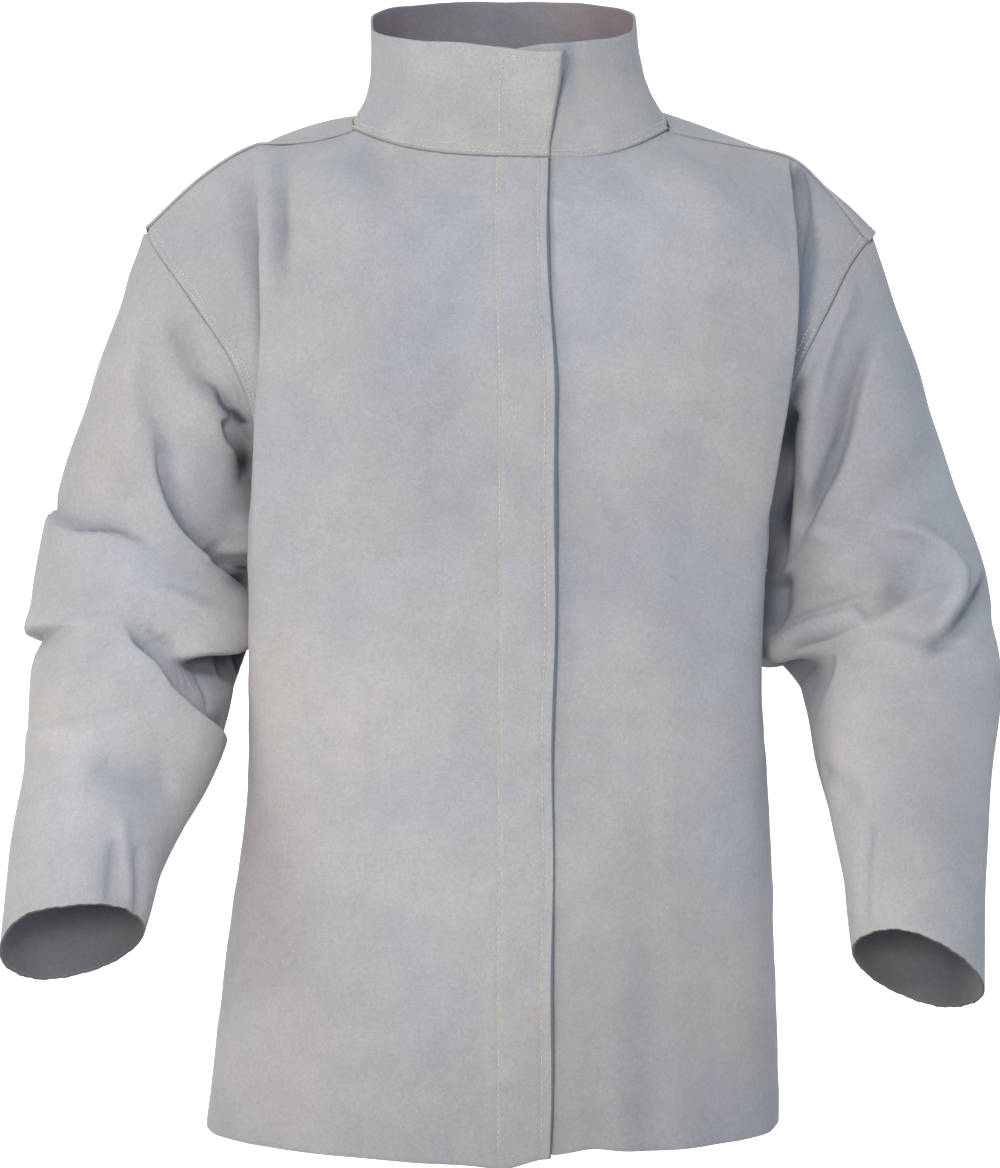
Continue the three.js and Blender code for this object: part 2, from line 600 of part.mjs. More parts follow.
function collarCell(turn, height, sink) {
  const step = COLLAR_STEP;
  const across = collarPoint(turn + step, height).sub(collarPoint(turn - step, height));
  const up = collarPoint(turn, Math.min(1, height + step)).sub(collarPoint(turn, Math.max(0, height - step)));
  const panel = panelNearNeck(turn);
  const onPanel = outward(panel.surface, panel.s, panel.t, panel.hand);
  const lying = 0.5 * (1 - smooth(height, 0, TURN_HEIGHT));
  const normal = across.cross(up).normalize().lerp(onPanel, lying).normalize();
  const lift = WALL + COLLAR_LIFT * (1 - smooth(height, 0, LIFT_HEIGHT));
  return { point: collarPoint(turn, height).addScaledVector(normal, lift - sink), normal };
}
function collarGrid(from, to, columns, heights, sinkAt, lapped) {
  const turns = Array.from({ length: columns + 1 }, (_, j) => lerp(from, to, j / columns));
  const rows = heights.map((height) => turns.map((turn) => collarCell(turn, height, sinkAt(turn))));
  if (lapped) {
    const lap = turns.map((turn, j) => {
      const { surface, s, t, hand } = panelNearNeck(turn);
      const normal = outward(surface, s, t, hand);
      const seam = rows[0][j].point;
      const below = surface(s, t).addScaledVector(normal, WALL + COLLAR_LIFT - sinkAt(turn)).sub(seam);
      const halfway = normal.lerp(rows[0][j].normal, 0.5).normalize();
      return { point: seam.clone().add(below.setLength(COLLAR_LAP)), normal: halfway };
    });
    rows.unshift(lap);
  }
  return rows;
}

// Closing strips, sewn inside the right front's edge and inside the collar's outer end
const FRONT_STRIP_T = [0.004, 0.965]; // from above the hem to below the collar's lap
const COLLAR_STRIP_ROWS = [0.12, 0.3, 0.6, 0.92];
const COLLAR_STRIP_COLUMNS = 4;
function frontStripGrid() {
  const columns = STRIP_EDGES_X.map((x) => (FLY_EDGE_X - x) / FLY_EDGE_X / (FRONT_MARKS - 1)).reverse();
  const rows = LEVEL_ROWS.map((t) => lerp(...FRONT_STRIP_T, t));
  return surfaceGrid(frontRight, columns, rows, RIGHT_HAND, () => WALL + GAP);
}
function collarStripGrid() {
  const [inner, outer] = STRIP_EDGES_X.map((x) => 2 * Math.PI + neckTurn(x));
  return collarGrid(inner, outer, COLLAR_STRIP_COLUMNS, COLLAR_STRIP_ROWS, () => WALL + GAP, false);
}

function piece(name, geometry, colour) {
  const material = new THREE.MeshStandardMaterial({ color: colour, roughness: ROUGHNESS, metalness: 0 });
  const mesh = new THREE.Mesh(geometry, material);
  mesh.name = name;
  return mesh;
}

const panels = panelGrids();
const rightRing = armholeRing(frontRight, RIGHT_HAND, 0, -1);
const leftRing = armholeRing(frontLeft, LEFT_HAND, 1, 1);
const rightSleeve = sleeveGrid(RIGHT_SLEEVE, RIGHT_FOLDS, rightRing, -1);
const leftSleeve = sleeveGrid(LEFT_SLEEVE, LEFT_FOLDS, leftRing, 1);
const collar = collarGrid(UNDER_END, OVER_END, COLLAR_COLUMNS, COLLAR_ROWS, collarSink, true);
const jacket = new THREE.Group();
jacket.add(
  piece("front_right", wall(panels.right, WALL, RIGHT_HAND), COLOUR.outside),
  piece("front_left", wall(panels.left, WALL, LEFT_HAND), COLOUR.outside),
  piece("back", wall(panels.rear, WALL, BACK_HAND), COLOUR.outside),
  piece("sleeve_right", wall(rightSleeve, WALL, -1, true), COLOUR.outside),
  piece("sleeve_left", wall(leftSleeve, WALL, 1, true), COLOUR.outside),
  piece("collar", wall(collar, WALL, 1), COLOUR.collar),
  piece("front_closing_strip", wall(frontStripGrid(), STRIP_WALL, RIGHT_HAND), COLOUR.strip),
  piece("collar_closing_strip", wall(collarStripGrid(), STRIP_WALL, 1), COLOUR.strip),
);
export default jacket;
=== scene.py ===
"""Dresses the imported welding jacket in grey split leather, sewn with pale thread, under soft studio light.

Shapes are worked out in millimetres in the part's frame: +Z up, the front faces -Y, the wearer's right is -X.
Meshes are made in metres.
"""

from __future__ import annotations

import logging
import math
from collections.abc import Callable
from dataclasses import dataclass, field
from enum import Enum
from functools import partial

import bpy
import numpy as np
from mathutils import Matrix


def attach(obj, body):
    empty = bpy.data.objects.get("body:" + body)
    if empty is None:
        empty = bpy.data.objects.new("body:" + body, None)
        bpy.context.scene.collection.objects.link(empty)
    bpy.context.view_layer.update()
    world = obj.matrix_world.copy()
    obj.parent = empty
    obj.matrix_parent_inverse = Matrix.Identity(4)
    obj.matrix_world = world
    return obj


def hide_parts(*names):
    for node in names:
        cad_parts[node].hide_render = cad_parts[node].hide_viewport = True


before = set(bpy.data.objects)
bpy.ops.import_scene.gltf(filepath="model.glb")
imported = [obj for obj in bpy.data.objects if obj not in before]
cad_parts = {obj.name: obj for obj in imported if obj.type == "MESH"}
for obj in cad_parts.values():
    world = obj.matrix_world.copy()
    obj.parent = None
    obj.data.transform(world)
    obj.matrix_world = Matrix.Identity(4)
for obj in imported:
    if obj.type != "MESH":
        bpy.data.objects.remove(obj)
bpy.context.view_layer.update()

Array = np.ndarray
Socket = bpy.types.NodeSocket
Material = bpy.types.Material
Piece = bpy.types.Object
Pair = tuple[float, float]  # both ends of a range, or a width and a length
Triple = tuple[float, float, float]  # a colour, a place or three sizes
Value = Socket | float | Triple  # what a shader's input takes
Line = tuple[Array, Array]  # points on the leather and its normals there
Surface = Callable[[Array, Array], Array]  # from places across a panel and heights on it to points
LOG = logging.getLogger("jacket")
MM = 0.001
BODY = "root"
WALL = 2.0  # split leather
STRIP_WALL = 1.5  # closing strips
GAP = 0.6  # between layers that lie on each other
SLEEVE_TUCK = 6.0  # sleeve head under the armhole edge
SLEEVE_GAP = 0.6  # sleeve head below the panels that cover it
FLY_EDGE_X = 35.0  # edge of the right front, which closes over the left
UNDER_EDGE_X = -14.0  # hidden edge of the left front
UNDER_HEM_RISE = 6.0  # the left front's hem ends above the right one's
FLY_BLEND_X = 115.0  # where the left front is back on the common surface
FLY_SINK = 2 * WALL + 4.5 * GAP  # left front below the right one, where the closing strip lies between
UNDER_SINK = WALL + 1.5 * GAP  # left front below the right one, just outside the fly's edge
STRIP_EDGES_X = (-2.0, 31.0)  # closing strip behind the right front
HEM_Z = -732.0  # lowest line of the hem
RIM_ROUND = 0.5  # how far cut edges bulge
RIM_DEPTHS = (0.22, 0.78)  # where the bulge starts and ends in the wall's thickness
ARMHOLE_ROWS = (2.3, 6.9)  # sewn rows beside the armhole, from its edge
ARMHOLE_START = 0.01  # their start above the underarm, as a share of the panel's height
SHADE_LIMIT = 1.4  # darkest painted shade; at 1 leather has the full painted shade colour
SHADE_DARKENS = 1.2  # how fast leather darkens past that
PATCH_FRONT = (-20.0, 40.0)  # how far forward a patch on the front starts and is full
PATCH_DEPTH = 45.0  # reach of a patch at a given depth
FLAT_SPREAD = 2.1  # width of a piece laid out flat, in widths of its outside
FLAT_SHIFT = 1.05  # where its inside starts, in the same widths
FLAT_HEAD = 1.03  # its height, with room for the cut edges
FLAT_EDGES = (0.985, 0.995)  # the strip that the cut edges take


class Side(Enum):
    """The wearer's right and left, as the sign of X."""

    RIGHT = -1
    LEFT = 1


class Face(Enum):
    """What a face of a leather wall is, as the number of its material."""

    OUTSIDE = 0
    INSIDE = 1
    CUT = 2
    CLOSING = 3


class FoldShape(Enum):
    """How leather lies across a fold."""

    RIDGE = "ridge"
    VALLEY = "valley"
    CREASE = "crease"
    LIP = "lip"
    # A line of painted shade in a crease or hollow, with no relief
    SOIL = "soil"


def table(columns: str, *rows: tuple[float, ...]) -> dict[str, Array]:
    """Columns of numbers by name.

    Args:
        columns: the names, with spaces between them.
        rows: one row of numbers per section.

    Returns:
        An array for each name.
    """
    return dict(zip(columns.split(), np.array(rows, float).T))


# Middle of the front and back at each level, from the hem up to the collarbone. mid is the line below the
# neck's shoulder point, blade the same line on the back, corner the back's turn to the side.
LEVELS = table(
    "z_front y_front z_mid z_back y_back x_blade y_blade z_blade x_corner y_corner z_corner",
    (-732, -150, -730, -728, 142, 115, 132, -728, 178, 98, -729),
    (-600, -147, -600, -600, 138, 110, 129, -600, 170, 97, -600),
    (-480, -143, -480, -480, 133, 105, 126, -480, 160, 96, -480),
    (-375, -140, -375, -375, 128, 102, 122, -375, 155, 94, -375),
    (-290, -139, -290, -290, 130, 102, 125, -290, 156, 96, -290),
    (-225, -139, -222, -220, 133, 104, 129, -220, 160, 106, -222),
    (-165, -137, -158, -150, 132, 106, 126, -148, 168, 108, -152),
    (-112, -128, -98, -85, 124, 108, 104, -70, 178, 90, -88),
    (-66, -108, -42, -25, 103, 102, 54, 11, 186, 50, -27),
)
# Side of each front panel at the same levels: the fold where it turns back towards the arm, the dip behind
# it, the panel's outer edge (side seam, then armhole) and the back panel's edge.
SIDE_COLUMNS = "x_fold y_fold z_fold x_dip y_dip x_edge y_edge z_edge x_back y_back z_back"
SIDES = {
    Side.RIGHT: table(
        SIDE_COLUMNS,
        (-208, -82, -725, -217, -32, -209, 20, -722, -209, 20, -722),
        (-193, -86, -600, -202, -36, -195, 18, -600, -195, 18, -600),
        (-179, -90, -480, -184, -42, -180, 15, -480, -180, 15, -480),
        (-178, -92, -375, -179, -45, -172, 12, -375, -172, 12, -375),
        (-178, -96, -290, -176, -50, -171, 4, -290, -171, 4, -290),
        (-177, -100, -225, -171, -68, -174, -42, -236, -180, 52, -232),
        (-173, -102, -165, -171, -74, -189, -64, -178, -200, 78, -172),
        (-171, -92, -112, -176, -66, -218, -48, -133, -226, 66, -125),
        (-172, -66, -62, -188, -48, -243, -24, -101, -251, 37, -87),
    ),
    Side.LEFT: table(
        SIDE_COLUMNS,
        (185, -92, -723, 201, -38, 200, 20, -721, 200, 20, -721),
        (184, -94, -600, 198, -42, 192, 18, -600, 192, 18, -600),
        (182, -95, -480, 191, -46, 184, 15, -480, 184, 15, -480),
        (181, -96, -375, 184, -48, 177, 12, -375, 177, 12, -375),
        (186, -98, -290, 182, -55, 176, 4, -290, 176, 4, -290),
        (197, -100, -225, 188, -70, 190, -46, -234, 188, 52, -230),
        (207, -100, -165, 203, -74, 212, -68, -174, 210, 78, -170),
        (210, -92, -112, 210, -68, 232, -52, -133, 232, 66, -125),
        (208, -68, -66, 218, -50, 252, -26, -98, 256, 37, -88),
    ),
}


def spots(rows: dict[str, Array], name: str, mirror: int = 1) -> Array:
    """The points whose x, y and z are in the columns of that name.

    Args:
        rows: a table.
        name: the columns' name after x_, y_ and z_.
        mirror: 1, or -1 for the other side of the jacket.

    Returns:
        A point for each row.
    """
    return np.stack([mirror * rows[f"x_{name}"], rows[f"y_{name}"], rows[f"z_{name}"]], axis=-1)


LEVEL_COUNT = len(LEVELS["z_front"])
FRONT_EDGES = {Side.RIGHT: FLY_EDGE_X, Side.LEFT: UNDER_EDGE_X}
FRONT_SPANS = 6  # between the seven upright lines that a front is drawn through
NECK_LINE = 3  # the one that meets the neck's shoulder point
FOLD_LINE = 4  # the one along the side fold
SEAM_SAG = {Side.RIGHT: 5.0, Side.LEFT: 2.0}  # sag of the shoulder seam beside the neck
BLADE_DROP = {Side.RIGHT: 4.5, Side.LEFT: 0.0}  # drop of the back below the shoulder seam
# Shoulder seam after the neck's shoulder point: the fold, the dip and the shoulder tip
SHOULDERS = {
    Side.RIGHT: ((-176, -26, -13.5), (-213, -22, -33.5), (-262, -2, -75.5)),
    Side.LEFT: ((207, -20, -23), (236, -16, -47.5), (270, -2, -78.5)),
}
# Sleeve sections from below the armhole to the cuff. across and deep are half sizes; slant carries the outer
# side down the arm and lean carries the back side down it.
SLEEVE_COLUMNS = "x y z across deep slant lean"
SLEEVES = {
    Side.RIGHT: table(
        SLEEVE_COLUMNS,
        (-244, 6, -250, 73, 70, -52, 0),
        (-255, 8, -290, 73, 68, -24, 0),
        (-264, 0, -344, 81, 66, -6, 0),
        (-265, -18, -377, 79, 66, 0, 0),
        (-269, -36, -402, 74, 64, 2, 0),
        (-275, -80, -459, 66, 60, 6, 2),
        (-291, -120, -514, 55, 56, 14, 5),
        (-301, -150, -574, 48, 52, 18, 10),
    ),
    Side.LEFT: table(
        SLEEVE_COLUMNS,
        (248, 6, -250, 74, 70, -52, 0),
        (259, 8, -290, 75, 68, -24, 0),
        (272, 0, -344, 84, 66, -6, 0),
        (273, -18, -377, 85, 66, 8, 0),
        (286, -36, -402, 73, 64, 18, 0),
        (287, -80, -460, 62, 60, 6, 2),
        (288, -120, -518, 52, 56, 12, 5),
        (290, -150, -594, 45, 52, 17, 10),
    ),
}


@dataclass(frozen=True)
class Fold:
    """A fold of a sleeve along a line of places.

    A place is (sections down from the armhole, degrees round from the outer side over the front to the inner
    side). Along a line that runs down the arm, before is its outer side and after its inner side. Along one
    that runs towards the inner side, before is its lower side and after its upper side. A lip is high before
    its line and sunk after it; kept is the share of the sunk part that stays beside the body, and over is how
    far the high part leans over the line. lead and tail are the shares of the line on which the fold comes in
    and goes out. tinting is the share of its depth that shows as painted shade in its hollow and painted
    highlight on its crest. A shade line is painted shade with no relief: its rise is how dark it is, and 1 is
    the full painted shade colour.
    """

    name: str
    shape: FoldShape
    rise: float
    before: float
    after: float
    line: tuple[Pair, ...]
    sink: float = 0.0
    over: float = 0.0
    lead: float = 0.2
    tail: float = 0.2
    crisp: float = 1.6
    kept: float = 1.0
    tinting: float = 1.0


RIDGE, VALLEY, LIP = FoldShape.RIDGE, FoldShape.VALLEY, FoldShape.LIP
# Fold lines of the last shape here are painted shade along creases and hollows, with no relief
CREASE, SHADE_LINE = FoldShape.CREASE, FoldShape.SOIL
RIGHT_FOLDS = (
    Fold("ridge from the shoulder", RIDGE, 3.5, 10, 14,
         ((0.1, 2), (0.3, 11), (0.6, 41), (0.8, 56), (1.0, 64), (1.3, 71), (1.7, 76))),
    Fold("valley beside it", VALLEY, 3.5, 8, 9, ((0.4, 50), (0.65, 62), (0.7, 75), (0.75, 83), (0.85, 95))),
    Fold("armpit crease", VALLEY, 4.5, 8, 9,
         ((0.15, 45), (0.2, 64), (0.25, 90), (0.15, 109), (0.1, 120), (0.05, 135))),
    Fold("line of the armpit crease", CREASE, 5, 2.5, 3,
         ((0.22, 70), (0.25, 90), (0.15, 109), (0.1, 120), (0.05, 135)), lead=0.6, tail=0.1),
    Fold("hollow of the armpit", LIP, 2, 12, 13,
         ((0.26, 108), (0.3, 115), (0.27, 124), (0.31, 131), (0.33, 135)), sink=9, over=2, lead=0.15),
    Fold("dark line of the armpit", SHADE_LINE, 1.2, 2.2, 2.2,
         ((0.25, 84), (0.25, 90), (0.2, 98), (0.2, 105),
          (0.15, 113), (0.1, 116), (0.05, 124)), lead=0.6, tail=0.05),
    Fold("dark line over the roll", SHADE_LINE, 0.55, 1.5, 4.0,
         ((1.0, 87), (1.3, 98), (1.65, 110), (1.95, 123)), lead=0.4, tail=0.1),
    Fold("dark end of that line", SHADE_LINE, 1.0, 3.0, 9.0,
         ((1.75, 116), (1.95, 128), (2.15, 142), (2.25, 158), (2.4, 176)), lead=0.4, tail=0.1),
    Fold("dark line above the elbow", SHADE_LINE, 0.5, 1.6, 1.6,
         ((2.55, 38), (2.5, 53), (2.42, 64), (2.36, 75), (2.35, 86), (2.35, 98)), tail=0.4),
    Fold("dark line of the slant", SHADE_LINE, 0.4, 2.0, 3.0,
         ((4.8, 90), (5.1, 94), (5.2, 101), (5.4, 109), (5.55, 116), (5.65, 128), (5.7, 135))),
    Fold("crease over the roll", LIP, 4.5, 24, 13,
         ((0.7, 74), (0.85, 81), (1.0, 87), (1.3, 98), (1.65, 110),
          (2.1, 131), (2.3, 147), (2.5, 162), (2.65, 175), (2.75, 190)),
         sink=8, over=4, lead=0.3, tail=0.1, kept=0.3),
    Fold("end of that crease", VALLEY, 9, 8, 10,
         ((1.75, 128), (1.95, 143), (2.15, 153), (2.3, 162), (2.4, 172))),
    Fold("fullness beside the body", RIDGE, 12, 18, 24,
         ((0.35, 152), (0.7, 162), (1.0, 174), (1.6, 178), (2.3, 182), (2.9, 184))),
    Fold("stripe in the hollow", RIDGE, 3.5, 6, 6, ((1.2, 132), (1.1, 139), (0.7, 154), (0.5, 164))),
    Fold("notch above the elbow", LIP, 2.5, 22, 12,
         ((2.2, -45), (2.35, -10), (2.45, 15), (2.5, 38),
          (2.5, 53), (2.45, 64), (2.37, 79), (2.35, 104)), sink=5, over=2, tail=0.3),
    Fold("line of that notch", CREASE, 4.5, 1.4, 2.0,
         ((2.5, 30), (2.5, 38), (2.5, 53), (2.45, 64), (2.37, 79), (2.35, 90), (2.4, 98))),
    Fold("elbow roll", RIDGE, 7.5, 20, 18,
         ((2.6, 66), (2.85, 83), (3.3, 101), (3.95, 124), (3.75, 150), (3.6, 165), (3.5, 190))),
    Fold("under the roll", LIP, 4.5, 16, 24,
         ((3.5, 195), (3.75, 172), (4.1, 160), (4.4, 154),
          (4.9, 133), (5.12, 121), (5.15, 110)), sink=19, over=6, lead=0.1, tail=0.3),
    Fold("hollow under it", VALLEY, 7, 8, 9, ((4.15, 182), (4.35, 174), (4.55, 166), (4.75, 158))),
    Fold("dark spot under it", SHADE_LINE, 1.25, 9, 9, ((3.7, 188), (3.9, 194), (4.1, 196), (4.3, 196))),
    Fold("ridge over the notch", RIDGE, 3.5, 8, 10,
         ((3.6, -30), (3.8, 0), (3.95, 15), (4.5, 50), (4.65, 75), (4.7, 95))),
    Fold("notch under the elbow", LIP, 3, 16, 16,
         ((4.8, 72), (4.7, 54), (4.45, 34), (4.1, 12), (3.85, -12), (3.7, -40)), sink=10, over=3, lead=0.6),
    Fold("slanting crease", LIP, 4.5, 24, 20,
         ((4.75, 82), (4.9, 88), (5.15, 92), (5.35, 106),
          (5.55, 117), (5.65, 140), (5.6, 172), (5.55, 195)), sink=8, over=3, lead=0.18, tail=0.15),
    Fold("small crease", CREASE, 3, 2, 2.5, ((4.72, 96), (4.8, 101), (4.9, 105), (5.0, 113), (5.05, 118))),
    Fold("crease in the tuck", CREASE, 3, 2.5, 4, ((5.15, 139), (5.25, 143), (5.4, 150), (5.5, 155))),
    Fold("forearm ridge", RIDGE, 4, 16, 8,
         ((5.7, 0), (6.0, 30), (6.05, 64), (5.9, 98), (5.7, 120), (5.65, 132))),
    Fold("forearm hollow", VALLEY, 4, 16, 16, ((6.4, 75), (6.5, 90), (6.55, 120), (6.35, 139))),
    Fold("cuff streak", VALLEY, 3, 5, 5, ((7.2, 110), (7.45, 113), (7.7, 116), (7.95, 120), (8.2, 124))),
    Fold("cuff ridge", RIDGE, 2.5, 5, 5, ((6.9, 108), (7.25, 116), (7.7, 131), (7.95, 139), (8.2, 146))),
    Fold("inner cuff streak", VALLEY, 3, 5, 6,
         ((7.2, 128), (7.45, 135), (7.75, 146), (7.95, 154), (8.2, 162))),
)
LEFT_FOLDS = (
    Fold("pleat from the shoulder", LIP, 3, 26, 14,
         ((0.5, 26), (0.51, 42), (0.56, 65), (0.7, 83),
          (0.8, 95), (0.85, 110), (0.92, 120), (1.02, 131)), sink=11, over=1.5, lead=0.4, crisp=2.2),
    Fold("tube beside the armhole", RIDGE, 6, 8, 8,
         ((0.02, 30), (0.1, 64), (0.15, 90), (0.25, 105), (0.45, 113), (0.75, 120), (0.9, 126))),
    Fold("crease beside the body", VALLEY, 15, 8, 11,
         ((0.0, 119), (0.1, 126), (0.3, 132), (0.5, 141),
          (0.8, 152), (1.4, 158), (2.1, 162)), lead=0.06, tinting=0.45),
    Fold("hollow beside the body", VALLEY, 9, 12, 14,
         ((1.9, 152), (2.5, 150), (3.0, 150), (3.4, 154), (3.7, 158))),
    Fold("fullness beside the body", RIDGE, 8, 14, 26,
         ((1.6, 182), (2.2, 184), (2.8, 186), (3.4, 186), (3.9, 182))),
    Fold("bulge over the roll", RIDGE, 6, 22, 22,
         ((1.8, 101), (2.2, 106), (2.7, 110), (3.2, 110), (3.5, 108))),
    Fold("dent over the elbow", VALLEY, 8, 7, 15,
         ((2.55, 66), (2.9, 71), (3.25, 75), (3.85, 80), (4.2, 90), (4.45, 101)), lead=0.6, tail=0.12),
    Fold("ridge under the dent", RIDGE, 4, 9, 5,
         ((3.05, 49), (3.5, 53), (4.1, 71), (4.3, 83), (4.5, 98), (4.65, 109))),
    Fold("dark diagonal beside the body", SHADE_LINE, 1.1, 5, 5,
         ((0.25, 119), (0.33, 126), (0.41, 131), (0.45, 140),
          (0.55, 148), (0.75, 154), (0.95, 158)), lead=0.3, tail=0.3),
    Fold("dark start of the crease", SHADE_LINE, 0.85, 6, 10,
         ((-0.05, 106), (0.0, 112), (0.04, 119), (0.1, 127), (0.3, 134)), lead=0.1, tail=0.3),
    Fold("line under the roll", CREASE, 3, 2.5, 3.5,
         ((4.5, 96), (4.6, 104), (4.75, 120), (4.65, 135), (4.5, 144))),
    Fold("dark line of the pleat", SHADE_LINE, 0.4, 2.5, 2.5,
         ((0.5, 83), (0.6, 94), (0.62, 101), (0.68, 113), (0.74, 120)), lead=0.4),
    Fold("elbow roll", RIDGE, 8, 13, 7,
         ((3.3, 82), (3.7, 90), (4.0, 105), (4.05, 133), (4.2, 146), (4.3, 170))),
    Fold("thin valley over the roll", CREASE, 3.5, 2.5, 4,
         ((3.4, 82), (3.7, 89), (3.9, 98), (3.95, 109), (3.9, 128), (3.98, 142), (4.1, 150))),
    Fold("outer ridge", RIDGE, 8.5, 6, 7,
         ((1.9, 86), (2.1, 79), (2.25, 75), (2.45, 64), (2.75, 53),
          (3.15, 45), (3.9, 45), (4.85, 62), (5.1, 70))),
    Fold("outer valley", VALLEY, 9, 8, 7,
         ((3.0, 5), (3.45, 19), (3.75, 26), (4.7, 54), (5.15, 70), (5.3, 78))),
    Fold("ridge under the elbow", RIDGE, 4, 12, 8,
         ((4.85, 5), (5.1, 26), (5.2, 71), (5.0, 101), (4.85, 113), (4.8, 122))),
    Fold("step under the roll", LIP, 4, 16, 30,
         ((3.5, 230), (3.85, 205), (4.1, 180), (4.25, 168), (4.4, 162),
          (4.65, 156), (4.9, 149), (5.05, 136), (5.1, 124)), sink=12, lead=0.15, tail=0.3, crisp=3.5),
    Fold("hollow behind the elbow", VALLEY, 30, 14, 44,
         ((3.0, 310), (3.1, 268), (3.4, 238), (3.8, 216), (4.3, 200), (4.8, 190)), tail=0.3),
    Fold("facet under the roll", LIP, 1.5, 10, 14,
         ((5.0, 125), (5.25, 131), (5.4, 139), (5.6, 158), (5.7, 168)), sink=3, tail=0.4),
    Fold("forearm crease", VALLEY, 2.5, 8, 8,
         ((6.1, 176), (6.2, 170), (6.5, 154), (6.75, 139), (6.85, 130))),
    Fold("cuff streak", VALLEY, 2.5, 5, 6, ((6.9, 125), (7.2, 131), (7.6, 141), (8.2, 150))),
)
FOLDS = {Side.RIGHT: RIGHT_FOLDS, Side.LEFT: LEFT_FOLDS}


def smooth(x: Array, low: float, high: float) -> Array:
    """A smooth step from 0 at low to 1 at high."""
    share = np.clip((x - low) / (high - low), 0, 1)
    return share * share * (3 - 2 * share)


def mix(a: Array | float, b: Array | float, share: Array | float) -> Array:
    """The value that lies that share of the way from a to b."""
    return a + (b - a) * share


def unit(vectors: Array) -> Array:
    """The vectors at length one."""
    return vectors / np.maximum(np.linalg.norm(vectors, axis=-1, keepdims=True), 1e-12)


def bump(distance: Array, reach: float | Array) -> Array:
    """A soft bump of height 1 at distance 0."""
    return np.exp(-((distance / reach) ** 2))


def run_along(line: Array) -> Array:
    """Distance along a line at each of its points."""
    return np.concatenate([[0], np.cumsum(np.linalg.norm(np.diff(line, axis=0), axis=1))])


def through(points: Array, t: Array) -> Array:
    """Points on a smooth curve through others, with centripetal spacing.

    Args:
        points: the points along the first axis; further axes are curves side by side.
        t: parameters from 0 to 1, equal between neighbouring points.

    Returns:
        The points at t, along the first axis.
    """
    last = len(points) - 1
    place = np.clip(np.asarray(t, float), 0, 1) * last
    i = np.minimum(place.astype(int), last - 1)
    w = (place - i).reshape((-1,) + (1,) * (points.ndim - 1))
    ends = 2 * points[:1] - points[1:2], 2 * points[-1:] - points[-2:-1]
    padded = np.concatenate([ends[0], points, ends[1]])
    gaps = np.maximum(np.linalg.norm(np.diff(padded, axis=0), axis=-1, keepdims=True), 1e-6) ** 0.5
    x0, x1, x2, x3 = (padded[i + n] for n in range(4))
    d0, d1, d2 = (gaps[i + n] for n in range(3))
    t1 = ((x1 - x0) / d0 - (x2 - x0) / (d0 + d1) + (x2 - x1) / d1) * d1
    t2 = ((x2 - x1) / d1 - (x3 - x1) / (d1 + d2) + (x3 - x2) / d2) * d1
    return x1 + w * (t1 + w * (3 * (x2 - x1) - 2 * t1 - t2 + w * (2 * (x1 - x2) + t1 + t2)))


def even(points: Array, count: int, *focus: Triple) -> Array:
    """Parameters whose points lie evenly along a line, and closer together near each focus.

    Args:
        points: points of the line at equal parameters.
        count: the number of steps.
        focus: (distance along the line, reach, extra density) of each place that needs more points.

    Returns:
        count + 1 parameters from 0 to 1.
    """
    run = run_along(points)
    density = np.ones_like(run)
    for place, reach, extra in focus:
        density += extra * bump(run - place, reach)
    total = np.concatenate([[0], np.cumsum(np.diff(run) * (density[1:] + density[:-1]) / 2)])
    return np.interp(np.linspace(0, total[-1], count + 1), total, np.linspace(0, 1, len(run)))


def waves(across: Array, along: Array, length: float, seed: int) -> Array:
    """Soft uneven relief, about from -1 to 1.

    Args:
        across: the first coordinate on the leather.
        along: the second coordinate.
        length: the usual distance from crest to crest.
        seed: picks one such relief.

    Returns:
        The height at each place.
    """
    count = 7
    draw = np.random.default_rng(seed)
    total = np.zeros_like(across)
    for _ in range(count):
        turn, phase = draw.uniform(0, 2 * math.pi, 2)
        stretch = length * draw.uniform(0.7, 1.6)
        total += np.sin(2 * math.pi * (across * math.cos(turn) + along * math.sin(turn)) / stretch + phase)
    return total / math.sqrt(count)


@dataclass(frozen=True)
class Patch:
    """A soft patch that tints the jacket: the leather's stains and uneven tone, and, where noted in PATCHES,
    painted shade and painted light.

    It is on the front unless its depth y is given, and on both faces of the leather unless it is on the
    inside only. tint multiplies the leather's colour.
    """

    x: float
    z: float
    wide: float
    high: float
    tint: Triple
    y: float | None = None
    inside: bool = False


